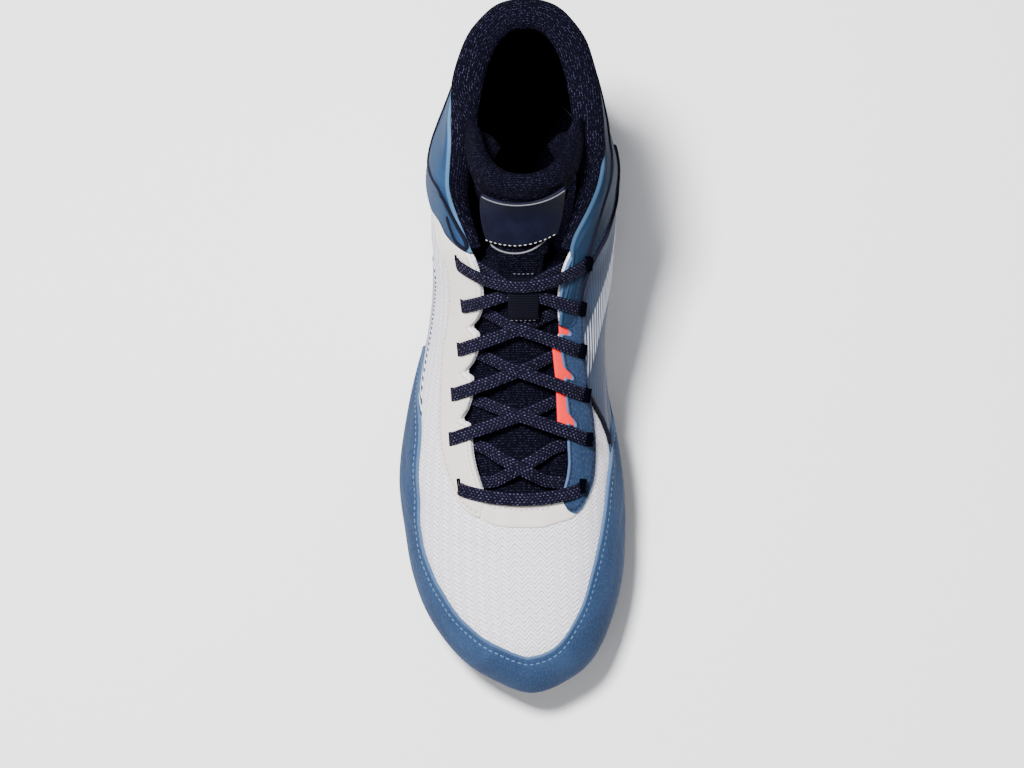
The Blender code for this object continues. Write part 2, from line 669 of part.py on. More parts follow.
def build_overlays():
    """Pieces stitched on the wall: toe rand, counter, eyestays, vamp bar, ankle and side panels. Their
    rows and columns are the wall's own."""
    made = {}
    for name, first, last, kind in OVERLAYS:
        laps = laps_between(first, last)
        rows = wall_rows(laps)
        if kind == "low":
            rows = [height_at(laps, up=sidewall_rise(laps) + 1.2)] + rows[3:5]
        elif kind == "high":
            edge = height_at(laps, down=scallop(np.abs((laps + 1) % 2 - 1)) + 0.6)
            rows = rows[-3:-1] + [edge]
        else:
            low = height_at(laps, up=line_at(laps, "low") + 2.0)
            rows = [low] + rows[5:-3] + [height_at(laps, down=line_at(laps, "high") + 2.0)]
        made[name] = band(name, laps, rows)
    return made


def build_collar():
    """Padded knit lining of the collar, rolled over the top line's edge."""
    laps = laps_between(COLLAR_END, -COLLAR_END)
    taper = ease((COLLAR_END - np.abs(laps)) / 0.10)
    thick = COLLAR_THICKNESS * (0.45 + 0.55 * taper)
    high = line_at(laps, "high")
    middle = (height_at(laps, down=high) + 1) / 2
    inner = -(UPPER_WALL + CLEARANCE + 0.2)
    # Length past the top line (as a share of the panel's height below it), share of the thickness
    profile = [(-1.0, 0.0), (None, 0.0), (0.8, 0.0), (0.85, 0.5), (2.4, 1.0), (4.0, 0.2),
               (COLLAR_ROLL, -0.2), (COLLAR_ROLL - 0.3, -0.65), (2.4, -0.95), (-0.15, -1.0),
               (None, -0.85), (-1.0, -0.25)]
    rings = []
    for k, (up, share) in enumerate(profile):
        if up is None:
            height = middle
        else:
            height = height_at(laps, down=-up * (high if up < 0 else 1.0))
        offset = np.full_like(laps, share) if 3 <= k <= 5 else inner + share * thick
        rings.append(on_last(place_on_wall(laps, height), offset))
    points = np.stack(rings, axis=1)
    count = len(profile)
    faces = tube_faces(len(laps), count, False, True)
    faces += [list(range(count)), [(len(laps) - 1) * count + j for j in reversed(range(count))]]
    return add_solid("collar_padding", points.reshape(-1, 3), faces)


def top_angle_at(station):
    """Angle of the top line at a station, from the ridge."""
    table = np.array(TOP_LINE)[::-1]
    return np.radians(np.interp(station, table[:, 1], table[:, 2]))


def build_tongue():
    """Padded tongue under the throat's edges, its top rolled into a U round the ankle's front."""
    table = dict(zip(TONGUE_COLUMNS, np.array(TONGUE_ROWS).T))
    station = np.concatenate([np.linspace(4.55, 14.6, 15), [14.95, 15.2, 15.36]])
    across = np.linspace(-1, 1, 13)
    half = np.radians(np.interp(station, table["station"], table["half_angle"]))
    full = between(station, table["station"], table["thickness"])
    round_off = np.sqrt(np.clip(1 - (np.clip(station - 14.6, 0, None) / 0.8) ** 2, 0.04, 1))
    angle = half[:, None] * across
    outer = tongue_surface(station[:, None], angle)
    thickness = full[:, None] * np.sqrt(np.clip(1 - np.abs(across) ** 6, 0.10, 1)) * np.ones_like(angle)
    middle = outer - thickness / 2
    thickness = thickness * round_off[:, None]
    place = flat_place(station[:, None] * np.ones_like(angle), angle)
    return shell("tongue", place, middle + thickness / 2, middle - thickness / 2)


def tongue_surface(station, angle):
    """Offset of the tongue's outer surface at a place."""
    table = dict(zip(TONGUE_COLUMNS, np.array(TONGUE_ROWS).T))
    centre = between(station, table["station"], table["centre"])
    edge = top_angle_at(station)
    past = np.abs(angle) - (edge - np.minimum(math.radians(TONGUE_CLEAR_ANGLE), 0.45 * edge))
    side = ease(past / math.radians(9)) * ease((station - 9.2) / 0.9)
    return centre + (TONGUE_SIDE - centre) * side


def build_label():
    """Plain patch sewn on the front of the tongue below its roll."""
    station, across = np.meshgrid(np.linspace(11.3, 13.9, 5), np.linspace(-1, 1, 9), indexing="ij")
    angle = across * np.radians(26 + 12 * (station - 11.3) / 2.6)
    base = tongue_surface(station, angle) + CLEARANCE + 0.2
    return shell("tongue_label", flat_place(station, angle), base + LABEL_WALL, base)


def build_keeper():
    """Webbing loop on the tongue that holds the laces down."""
    station = np.array([8.88, 8.92, 8.96, 9.00, 9.10, 9.45, 9.78, 9.90, 10.00, 10.10, 10.20])
    lift = np.array([0.7, 0.7, 3.4, 6.3, 6.6, 6.6, 6.3, 5.4, 2.6, 0.7, 0.7])
    x = np.linspace(-1, 1, 4)
    station, across = np.meshgrid(station, x, indexing="ij")
    angle = across * np.radians(9.0)
    base = tongue_surface(station[:, :1], 0 * station[:, :1]) + lift[:, None]
    return shell("lace_keeper", flat_place(station, angle), base + KEEPER_WALL, base + 0 * across)


def beside_edge(row, side, outside):
    """Place on the disc beside an eyelet pair's point of the throat's edge, a length (mm) outside it."""
    station = EYELET_STATIONS[row]
    angle = top_angle_at(station)
    pair = last_point(np.array([station, station]), side * np.array([angle, angle + 0.01]))
    angle += 0.01 * outside / np.linalg.norm(pair[1] - pair[0])
    return flat_place(station, side * angle)


def ribbon(name, places, offsets):
    """Flat lace through places of the disc at offsets from the last, spread evenly by length."""
    places, offsets = np.asarray(places, float), np.asarray(offsets, float)
    centre = on_last(places, offsets)
    above = on_last(places, offsets + 1.0) - centre
    along_path = np.gradient(centre, axis=0)
    along_path /= np.linalg.norm(along_path, axis=1, keepdims=True)
    wide = np.cross(above, along_path)
    wide /= np.linalg.norm(wide, axis=1, keepdims=True)
    thick = np.cross(along_path, wide)
    a, b = LACE_WIDTH / 2, LACE_THICKNESS / 2
    corners = [(-a, -b), (a, -b), (a, b), (-a, b)]
    points = np.stack([centre + wide * u + thick * v for u, v in corners], axis=1)
    faces = tube_faces(len(places), 4, False, True)
    faces += [[0, 1, 2, 3], [(len(places) - 1) * 4 + j for j in (3, 2, 1, 0)]]
    return add_solid(name, points.reshape(-1, 3), faces)


def across_throat(start, end, t):
    """Places from one to the other, their station and angle changing evenly."""
    stations = [np.hypot(*p) for p in (start, end)]
    angles = [np.arctan2(p[1], p[0]) for p in (start, end)]
    return flat_place(stations[0] + (stations[1] - stations[0]) * t, angles[0] + (angles[1] - angles[0]) * t)


def strand(name, start, end, start_offset, end_offset, middle_offset, steps=9):
    """Lace from one place to another: high at its ends as given and lower over the tongue."""
    t = np.linspace(0, 1, steps)
    places = across_throat(start, end, t)
    first = middle_offset + (start_offset - middle_offset) * (1 - ease((t - 0.19) / 0.27))
    offsets = first + (end_offset - middle_offset) * ease((t - 0.72) / 0.25)
    return ribbon(name, places, offsets)


def build_laces():
    """Bottom bar, five crossings and top bar. Each crossing is one solid of its two strands."""
    over = OVERLAY_GAP + OVERLAY_WALL + 1.0 + LACE_THICKNESS / 2
    under = -(UPPER_WALL + 0.45 + LACE_THICKNESS / 2)
    for row in range(5):
        strands = []
        for side in (-1, 1):
            start = beside_edge(row, side, EYELET_INSET if row else -THROAT_STOP)
            end = beside_edge(row + 1, -side, -THROAT_STOP)
            if row:
                start = across_throat(start, end, 0.06)
            first = over if row else under
            strands.append(strand(f"lace_cross_{row + 1}_{side}", start, end, first, under, LACE_OVER_TONGUE))
        cut(strands[0], strands[1], "UNION")
        strands[0].name = f"lace_cross_{row + 1}"
    for name, row, sag in (("lace_bar_bottom", 0, -0.30), ("lace_bar_top", 5, -0.10)):
        t = np.linspace(0, 1, 11)
        places = across_throat(beside_edge(row, -1, EYELET_INSET), beside_edge(row, 1, EYELET_INSET), t)
        places[:, 0] += sag * np.sin(math.pi * t)
        ribbon(name, places, over + 0.6 * np.sin(math.pi * t))


def build_trim():
    """Bright strip under the medial edge of the throat, seen in the scallops of the eyestay."""
    laps = laps_between(EYELET_WAYS[1], EYELET_WAYS[4])
    rows = [height_at(laps, down=7.0), height_at(laps, down=-3.2)]
    return band("throat_trim", laps, rows, -(UPPER_WALL + CLEARANCE + 1.0), 0.9)


def punch_eyelets(items):
    """Cuts the slot of each eyelet through the pieces on its side."""
    for side in (-1, 1):
        for row in range(len(EYELET_WAYS)):
            middle, edge = (beside_edge(row, side, outside) for outside in (EYELET_INSET, 0.0))
            points = on_last(np.array([middle, edge, middle, middle]), np.array([0, 0, 1.0, 0]))
            across = (points[1] - points[0]) / np.linalg.norm(points[1] - points[0])
            up = points[2] - points[0]
            length = np.cross(up, across)
            corners = []
            for w in (-(UPPER_WALL + CLEARANCE + 0.8), OVERLAY_GAP + OVERLAY_WALL + 2.5):
                for a, b in ((-1, -1), (1, -1), (1, 1), (-1, 1)):
                    corners.append(points[0] + across * a * EYELET_SLIT / 2
                                   + length * b * EYELET_WIDTH / 2 + up * w)
            sides = [[k, (k + 1) % 4, 4 + (k + 1) % 4, 4 + k] for k in range(4)]
            for item in items[side]:
                cut(item, add_solid("slot", corners, [[3, 2, 1, 0], [4, 5, 6, 7]] + sides, CUTTERS))


outsole = build_outsole()
build_insole()
upper = build_upper()
overlays = build_overlays()
build_collar()
build_tongue()
build_label()
build_keeper()
build_laces()
build_trim()
punch_eyelets({-1: [upper, overlays["eyestay_lateral"]], 1: [upper, overlays["eyestay_medial"]]})
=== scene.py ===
"""Looks of a right wrestling shoe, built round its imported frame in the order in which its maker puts
it together: rubber cup, insole, mesh upper, overlays, padded collar and tongue, laces.

Lengths are in millimetres until a mesh is made. The toe points along -Y, +X is the medial side.
"""

import math

import bmesh
import bpy
import numpy as np
from mathutils import Matrix, Vector


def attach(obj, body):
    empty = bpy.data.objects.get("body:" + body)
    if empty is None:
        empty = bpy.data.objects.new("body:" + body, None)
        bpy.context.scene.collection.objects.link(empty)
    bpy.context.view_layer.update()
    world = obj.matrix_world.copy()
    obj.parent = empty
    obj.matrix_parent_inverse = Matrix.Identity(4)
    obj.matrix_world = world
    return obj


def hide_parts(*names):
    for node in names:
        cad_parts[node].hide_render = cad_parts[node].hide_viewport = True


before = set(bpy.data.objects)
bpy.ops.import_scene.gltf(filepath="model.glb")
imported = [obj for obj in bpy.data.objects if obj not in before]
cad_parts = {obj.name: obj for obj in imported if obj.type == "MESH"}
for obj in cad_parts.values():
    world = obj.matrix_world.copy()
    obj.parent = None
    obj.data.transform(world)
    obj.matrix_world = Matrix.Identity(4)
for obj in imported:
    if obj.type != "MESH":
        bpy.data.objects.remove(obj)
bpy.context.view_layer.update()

# Outsole. A moulded rubber cup, nearly black, whose side climbs round the upper and whose underside
# carries blocks of tread at heel and forefoot. It is cemented to the upper, which stands in it, so the
# last that both are made on is worked out here: sections fan out from the toe tip to the collar.
MM = 0.001
SHOE_LENGTH, HEEL_BACK, BALL_WIDTH, ANKLE_WIDTH = 281.5, 41.5, 94.3, 79.5
INSTEP_HEIGHT, SHAFT_HEIGHT, TOE_SPRING = 96.0, 142.0, 12.0
FLOOR_AT_BALL, HEEL_RAISE, ARCH_LIFT, LUG_DEPTH = 7.0, 3.0, 2.5, 1.6
CLEARANCE, CORNER_DROP = 0.4, 2.5
BALL_AT, HEEL_SEAT_AT = 0.715, 0.36
ARCH_AT, ARCH_REACH = 0.44, 26.0
# Foot: ridge at, rise, bottom at, half widths, sideways places, widest heights, roundness, pinch
FOOT_ROWS = (
    (1.000, 0.275, 1.000, 0.000, 0.000, 0.025, 0.025, 0.50, 0.50, 2.0, 2.0, 0.00),
    (0.986, 0.370, 0.977, 0.152, 0.152, 0.020, 0.020, 0.48, 0.48, 2.0, 2.0, 0.00),
    (0.951, 0.458, 0.942, 0.292, 0.294, 0.000, 0.005, 0.40, 0.40, 2.2, 2.4, 0.00),
    (0.887, 0.515, 0.882, 0.403, 0.401, -0.028, -0.010, 0.34, 0.34, 2.3, 3.0, 0.00),
    (0.817, 0.562, 0.817, 0.465, 0.465, -0.046, -0.018, 0.30, 0.30, 2.3, 3.6, 0.00),
    (0.743, 0.630, 0.743, 0.492, 0.492, -0.062, -0.020, 0.26, 0.26, 2.2, 4.0, 0.00),
    (0.669, 0.724, 0.655, 0.500, 0.500, -0.083, -0.020, 0.22, 0.24, 2.1, 4.0, 0.00),
    (0.593, 0.844, 0.546, 0.461, 0.450, -0.085, -0.018, 0.22, 0.36, 2.0, 4.0, 0.00),
    (0.521, 1.000, 0.426, 0.420, 0.398, -0.058, -0.016, 0.30, 0.56, 2.0, 4.2, 0.02),
)
# Shaft: front at, rise, back at, back height, then the same columns
SHAFT_ROWS = (
    (0.468, 0.285, 0.292, 0.053, 0.487, 0.480, -0.034, -0.016, 0.46, 0.64, 1.9, 4.6, 0.08),
    (0.426, 0.540, 0.151, 0.053, 0.500, 0.490, -0.014, -0.014, 0.60, 0.66, 1.9, 4.8, 0.14),
    (0.408, 0.660, 0.035, 0.074, 0.505, 0.497, -0.008, -0.012, 0.61, 0.64, 1.9, 3.2, 0.17),
    (0.393, 0.775, 0.002, 0.225, 0.507, 0.500, -0.006, -0.010, 0.61, 0.62, 1.9, 2.4, 0.14),
    (0.373, 0.925, 0.016, 0.507, 0.476, 0.472, 0.000, -0.004, 0.64, 0.64, 2.0, 2.1, 0.05),
    (0.359, 1.070, 0.032, 0.760, 0.410, 0.410, 0.009, 0.004, 0.66, 0.66, 2.1, 2.2, 0.00),
    (0.349, 1.200, 0.035, 1.000, 0.378, 0.378, 0.012, 0.012, 0.67, 0.67, 2.1, 2.4, 0.00),
)
PINCH_AT, PINCH_REACH = 0.28, 0.18
# Top line of the upper: share of the way from heel to toe, station, angle from the ridge in degrees
TOP_LINE = np.array((
    (0.00, 15.00, 180.0), (0.06, 14.95, 150.0), (0.12, 14.82, 125.0), (0.18, 14.60, 104.0),
    (0.24, 14.10, 83.0), (0.29, 13.30, 65.0), (0.34, 12.20, 50.0), (0.38, 11.05, 38.5),
    (0.42, 10.10, 30.0), (0.48, 9.25, 25.0), (0.55, 8.20, 25.5), (0.62, 7.15, 27.0),
    (0.68, 6.25, 25.0), (0.74, 5.60, 21.0), (0.83, 5.20, 16.0), (0.92, 5.05, 8.5), (1.00, 5.00, 0.0),
)).T
# Height of the cup's side: way, lateral, medial
SIDEWALL_RISE = np.array(((0.0, 8.0, 8.0), (0.35, 7.0, 8.0), (0.6, 5.5, 8.0), (0.8, 4.5, 6.0),
                          (1.0, 4.0, 4.0))).T
# Creases that wear has set in the wall: two ends (station, angle), half width and depth
CREASES = (
    (5.3, 62, 6.6, 74, 3.2, 0.75), (4.7, 66, 5.6, 80, 2.8, 0.55), (6.2, 70, 7.6, 84, 3.5, 0.6),
    (5.2, -60, 6.3, -74, 3.2, 0.6), (4.6, -64, 5.3, -78, 2.6, 0.4), (6.6, -72, 8.2, -88, 3.6, 0.5),
    (9.6, 60, 10.8, 84, 4.0, 0.7), (10.6, 66, 11.6, 96, 3.6, 0.6), (9.6, -60, 10.8, -84, 4.0, 0.7),
    (10.6, -66, 11.6, -96, 3.6, 0.6), (4.2, 18, 4.3, 44, 3.0, 0.35), (4.1, -16, 4.4, -42, 3.0, 0.35),
)


def through_rows(rows, place):
    """Catmull-Rom curve through the rows of a table at fractional row numbers."""
    place = np.clip(place, 0.0, len(rows) - 1.0)
    first = np.minimum(np.floor(place).astype(int), len(rows) - 2)
    t = (place - first)[..., None]
    padded = np.vstack([2 * rows[0] - rows[1], rows, 2 * rows[-1] - rows[-2]])
    before, here, after, later = (padded[first + k] for k in range(4))
    return 0.5 * (2 * here + (after - before) * t + (2 * before - 5 * here + 4 * after - later) * t**2
                  + (3 * here - before - 3 * after + later) * t**3)


def between(x, xs, ys):
    """Smooth curve through (xs, ys): Hermite pieces with the slopes of the neighbouring chords."""
    slopes = np.gradient(ys, xs)
    x = np.clip(x, xs[0], xs[-1])
    i = np.clip(np.searchsorted(xs, x, side="right") - 1, 0, len(xs) - 2)
    width = xs[i + 1] - xs[i]
    t = (x - xs[i]) / width
    return ((2 * t**3 - 3 * t**2 + 1) * ys[i] + (t**3 - 2 * t**2 + t) * width * slopes[i]
            + (3 * t**2 - 2 * t**3) * ys[i + 1] + (t**3 - t**2) * width * slopes[i + 1])


def ease(x):
    """0 below 0, 1 above 1, and the smooth step 3x^2 - 2x^3 between."""
    x = np.clip(x, 0.0, 1.0)
    return x * x * (3 - 2 * x)


def unit(vectors):
    """Vectors brought to length 1."""
    return vectors / np.linalg.norm(vectors, axis=-1, keepdims=True)


def path_lengths(points, axis=0):
    """Length (mm) along a path of points, or along one axis of a grid of them, from its first point."""
    first = np.take(points, [0], axis)
    return np.cumsum(np.linalg.norm(np.diff(points, axis=axis, prepend=first), axis=-1), axis=axis)


def along(share):
    """Y of a share of the shoe's length ahead of the heel's back."""
    return HEEL_BACK - share * SHOE_LENGTH


def spring(y):
    """Lift of the toe: a parabola ahead of the ball."""
    return TOE_SPRING * np.clip((along(BALL_AT) - y) / ((1 - BALL_AT) * SHOE_LENGTH), 0, None)**2


def floor_height(y):
    """Height of the cup's floor: a smooth step from ball to heel, and the toe's lift."""
    return (FLOOR_AT_BALL + spring(y)
            + HEEL_RAISE * ease((y - along(BALL_AT)) / ((BALL_AT - HEEL_SEAT_AT) * SHOE_LENGTH)))


def last_sections():
    """Sections of the last in millimetres, toe tip first, with a mirrored row before and one above."""
    foot, shaft = np.array(FOOT_ROWS), np.array(SHAFT_ROWS)
    low_y = along(foot[:, 2])
    low_z = np.where(foot[:, 3] == 0, foot[:, 1] * INSTEP_HEIGHT, floor_height(low_y) - CORNER_DROP)
    foot = np.column_stack([along(foot[:, 0]), foot[:, 1] * INSTEP_HEIGHT, low_y, low_z,
                            foot[:, 3:7] * BALL_WIDTH, foot[:, 7:]])
    front_z = INSTEP_HEIGHT + shaft[:, 1] * (SHAFT_HEIGHT - INSTEP_HEIGHT)
    shaft = np.column_stack([along(shaft[:, 0]), front_z, along(shaft[:, 2]), shaft[:, 3] * SHAFT_HEIGHT,
                             shaft[:, 4:8] * ANKLE_WIDTH, shaft[:, 8:]])
    rows = np.vstack([foot, shaft])
    mirrored = rows[1].copy()
    mirrored[0:4] = rows[1][[2, 3, 0, 1]]
    mirrored[4:6] *= -1
    return np.vstack([mirrored, rows, 2 * rows[-1] - rows[-2]])


SECTIONS = last_sections()


def last_point(station, angle):
    """Point of the last: a superellipse section from its bottom point up to its ridge."""
    (top_y, top_z, low_y, low_z, lateral, medial, middle, ridge, wide_lateral, wide_medial, round_top,
     round_bottom, pinch) = np.moveaxis(through_rows(SECTIONS, np.asarray(station) + 1.0), -1, 0)
    inner, turn = np.asarray(angle) > 0, np.abs(angle)
    wide = np.where(inner, wide_medial, wide_lateral)
    above = turn < math.pi / 2
    power = np.where(above, round_top, round_bottom)
    reach = (np.abs(np.sin(turn))**power + np.abs(np.cos(turn))**power)**(1 / power)
    out, up = np.sin(turn) / reach, np.cos(turn) / reach
    share = np.where(above, wide + (1 - wide) * up, wide * (1 + up))
    narrowed = 1 - pinch * np.exp(-((share - PINCH_AT) / PINCH_REACH)**2)
    x = (middle + (ridge - middle) * share**2
         + np.where(inner, 1, -1) * np.where(inner, medial, lateral) * out * narrowed)
    return np.stack([x, low_y + (top_y - low_y) * share, low_z + (top_z - low_z) * share], -1)


def flat_place(station, angle):
    """The last laid out as a disc round its toe tip: station times cosine and sine of the angle."""
    return np.stack(np.broadcast_arrays(station * np.cos(angle), station * np.sin(angle)), -1)


def point_at(place):
    """Point of the last at a place of the disc."""
    return last_point(np.hypot(place[..., 0], place[..., 1]), np.arctan2(place[..., 1], place[..., 0]))


def crease_depth(points):
    """Sum over the creases of depth times a bell of the distance from its line, fading at its ends."""
    depth = np.zeros(points.shape[:-1])
    for first, first_angle, last, last_angle, half, deep in CREASES:
        a = last_point(np.array(first), np.radians(first_angle))
        b = last_point(np.array(last), np.radians(last_angle))
        share = np.clip(((points - a) @ (b - a)) / ((b - a) @ (b - a)), 0, 1)
        gap = np.linalg.norm(points - a - share[..., None] * (b - a), axis=-1)
        ridge = np.exp(-((gap - 2.1 * half) / (1.2 * half))**2)
        depth += deep * (np.exp(-(gap / half)**2) - 0.35 * ridge) * (0.35 + 0.65 * np.sin(math.pi * share))
    return depth


def on_last(place, offset=0.0, creased=False):
    """Point of the last moved out along its normal, which the surface's small differences give."""
    step = 0.02
    ahead, aside = np.array([step, 0.0]), np.array([0.0, step])
    normal = unit(np.cross(point_at(place + aside) - point_at(place - aside),
                           point_at(place + ahead) - point_at(place - ahead)))
    point = point_at(place)
    if creased:
        offset = offset - crease_depth(point)
    return point + normal * np.asarray(offset)[..., None]


def feather_angle(station, side):
    """Angle at which the wall meets the floor of the cup, found by halving."""
    low, high = np.full_like(station, math.pi / 2), np.full_like(station, math.pi)
    for _ in range(40):
        middle = (low + high) / 2
        p = last_point(station, side * middle)
        over = p[..., 2] > floor_height(p[..., 1]) + CLEARANCE
        low, high = np.where(over, middle, low), np.where(over, high, middle)
    return low


def feather_line():
    """Way, station, length (mm) and the angle on each side along the feather edge from heel to toe."""
    station = np.linspace(0.3, 12.5, 2000)
    p = last_point(station, np.full_like(station, math.pi))
    under = station[p[:, 2] < floor_height(p[:, 1]) + CLEARANCE]
    toe, heel = under[0], under[-1]
    station = (heel + toe) / 2 + (heel - toe) / 2 * np.cos(np.linspace(0, math.pi, 900))
    angles = [feather_angle(station, side) for side in (-1, 1)]
    for angle in angles:
        angle[[0, -1]] = math.pi
    p = last_point(station, -angles[0])
    length = path_lengths(p)
    return length / length[-1], station, length[-1], angles


FEATHER_WAY, FEATHER_STATION, FEATHER_LENGTH, FEATHER_ANGLES = feather_line()


def wrapped(lap):
    """Lap round the shoe brought to -1 to 1: 0 at the heel, 1 at the toe by the medial side."""
    return (np.asarray(lap, float) + 1) % 2 - 1


def place_on_wall(lap, height):
    """Place on the disc of a point of the wall, from the feather edge (height 0) to the top line (1)."""
    lap, height = np.broadcast_arrays(wrapped(lap), np.asarray(height, float))
    way, side = np.abs(lap), np.where(lap < 0, -1.0, 1.0)
    low_station = np.interp(way, FEATHER_WAY, FEATHER_STATION)
    low_angle = np.where(lap < 0, *(np.interp(way, FEATHER_WAY, angle) for angle in FEATHER_ANGLES))
    top_station = between(way, TOP_LINE[0], TOP_LINE[1])
    top_angle = np.radians(between(way, TOP_LINE[0], TOP_LINE[2]))
    low_place = flat_place(low_station, low_angle)
    straight = low_place + (flat_place(top_station, top_angle) - low_place) * height[..., None]
    turned = flat_place(low_station + (top_station - low_station) * height,
                        low_angle + (top_angle - low_angle) * height)
    place = turned + (straight - turned) * ease((way - 0.55) / 0.35)[..., None]
    place[..., 1] *= side
    return place


def wall_lengths(laps, samples=72):
    """Heights from 0 to 1 and the lengths up the wall (mm) to them, one row for each lap."""
    height = np.linspace(0, 1, samples)
    return height, path_lengths(point_at(place_on_wall(laps[:, None], height)), 1)


def wall_places(laps, up):
    """Places at lengths up the wall (mm), one row for each lap: the summed length is read backwards,
    and goes straight on above the top line."""
    height, length = wall_lengths(laps)
    up = np.broadcast_to(up, (len(laps), np.shape(up)[-1]))
    i = np.clip((length[:, None, :] <= up[:, :, None]).sum(-1) - 1, 0, length.shape[1] - 2)
    a, b = np.take_along_axis(length, i, 1), np.take_along_axis(length, i + 1, 1)
    share = height[i] + (up - a) / np.maximum(b - a, 1e-9) * (height[1] - height[0])
    total = length[:, -1:]
    return place_on_wall(laps[:, None], np.where(up > total, 1 + (up - total) / total, share))


def by_side(lap, ways, lateral, medial):
    """Smooth curve along the way from heel to toe, with its own values on each side."""
    lap = wrapped(lap)
    return np.where(lap < 0, between(np.abs(lap), ways, lateral), between(np.abs(lap), ways, medial))


def sidewall_rise(lap):
    """Height of the cup's side above the feather edge."""
    return by_side(lap, *SIDEWALL_RISE)


def top_length(lap):
    """Length up the wall (mm) of the top line at each lap."""
    return wall_lengths(np.atleast_1d(lap))[1][:, -1]


def wall_path(laps, up, lift):
    """Points of a line of the creased wall (mm up at each lap), lifted off it."""
    return on_last(wall_places(laps, up[:, None])[:, 0], lift + 0 * laps, creased=True)


def ring_laps(columns):
    """Laps once round the shoe, from the heel by the lateral side and the toe."""
    way = np.linspace(0, 1, columns + 1)
    return np.concatenate([-way, way[1:-1][::-1]])


def outward(mesh):
    """Turns the faces of a closed mesh to look out."""
    work = bmesh.new()
    work.from_mesh(mesh)
    bmesh.ops.recalc_face_normals(work, faces=work.faces)
    work.to_mesh(mesh)
    work.free()


def linked(name, data):
    """New object of a mesh, a light or a camera, linked to the scene."""
    made = bpy.data.objects.new(name, data)
    bpy.context.scene.collection.objects.link(made)
    return made


def shape(name, points, faces, finishes, uv=None, kinds=None):
    """Object in metres from points in millimetres and rows of faces. kinds gives each face's finish by
    number, uv a pair (mm) for each point."""
    mesh = bpy.data.meshes.new(name)
    mesh.from_pydata((points * MM).tolist(), [], [row for group in faces for row in group.tolist()])
    for finish in finishes:
        mesh.materials.append(finish.material)
    if kinds is not None:
        mesh.polygons.foreach_set("material_index", np.asarray(kinds, np.int32))
    if uv is not None:
        corner = np.empty(len(mesh.loops), np.int32)
        mesh.loops.foreach_get("vertex_index", corner)
        mesh.uv_layers.new(name="cloth").data.foreach_set("uv", uv[corner].astype(np.float32).ravel())
    outward(mesh)
    mesh.shade_smooth()
    made = linked(name, mesh)
    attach(made, "root")
    return made


def grid_faces(columns, rows, round_columns=False, round_rows=False, start=0):
    """Quads of a grid of points that may close on itself either way."""
    i = np.arange(columns if round_columns else columns - 1)[:, None]
    j = np.arange(rows if round_rows else rows - 1)[None, :]
    a, b, k = i * rows, (i + 1) % columns * rows, (j + 1) % rows
    return start + np.stack(np.broadcast_arrays(a + j, b + j, b + k, a + k), -1).reshape(-1, 4)


def sheet(name, face, back, finishes, uv=None, shift=(0.0, 0.0)):
    """Closed piece between two grids of points, joined round their rim. uv is a pair (mm) for each point
    of the face, and the back's is moved by shift."""
    columns, rows = face.shape[:2]
    count = columns * rows
    number = np.arange(count).reshape(columns, rows)
    loop = np.concatenate([number[:, 0], number[-1, 1:], number[-2::-1, -1], number[0, -2:0:-1]])
    rim = np.stack([loop, np.roll(loop, -1), np.roll(loop, -1) + count, loop + count], 1)
    faces = [grid_faces(columns, rows), grid_faces(columns, rows, start=count)[:, ::-1], rim]
    return shape(name, np.concatenate([face.reshape(-1, 3), back.reshape(-1, 3)]), faces, finishes,
                 uv=None if uv is None else np.concatenate([uv, uv + shift]))


def tube(name, rings, finish, uv):
    """Closed piece along a row of rings of points."""
    count, sides = rings.shape[:2]
    end = np.arange(sides)[None]
    faces = [grid_faces(count, sides, round_rows=True), end[:, ::-1], (count - 1) * sides + end]
    return shape(name, rings.reshape(-1, 3), faces, [finish], uv=uv.reshape(-1, 2))


def cup(rings, breadth, under=None):
    """Points and faces of rings round the shoe, the first and last closed by strips from the lateral
    side to the medial one, evenly divided. under gives the first cap's height from y and the share of
    the way across."""
    rings = np.asarray(rings)
    count = rings.shape[1]
    half = count // 2
    i = np.arange(count)
    faces = [np.stack([r * count + i, r * count + (i + 1) % count, (r + 1) * count + (i + 1) % count,
                       (r + 1) * count + i], 1) for r in range(len(rings) - 1)]
    points = [rings.reshape(-1, 3)]
    made = len(points[0])
    share = np.linspace(0, 1, breadth + 1)[1:-1][None, :, None]
    for ring, start in ((rings[0], 0), (rings[-1], (len(rings) - 1) * count)):
        left, right = np.arange(1, half), count - np.arange(1, half)
        inner = ring[left][:, None] * (1 - share) + ring[right][:, None] * share
        if under is not None and start == 0:
            inner[..., 2] = under(inner[..., 1], share[..., 0])
        number = made + np.arange(inner[..., 0].size).reshape(half - 1, breadth - 1)
        made += inner[..., 0].size
        points.append(inner.reshape(-1, 3))
        row = np.concatenate([start + left[:, None], number, start + right[:, None]], 1)
        faces.append(np.stack([row[:-1, :-1], row[:-1, 1:], row[1:, 1:], row[1:, :-1]], -1).reshape(-1, 4))
        faces.append(np.stack([np.full(breadth, start), row[0, 1:], row[0, :-1]], 1))
        faces.append(np.stack([np.full(breadth, start + half), row[-1, :-1], row[-1, 1:]], 1))
    return np.concatenate(points), faces


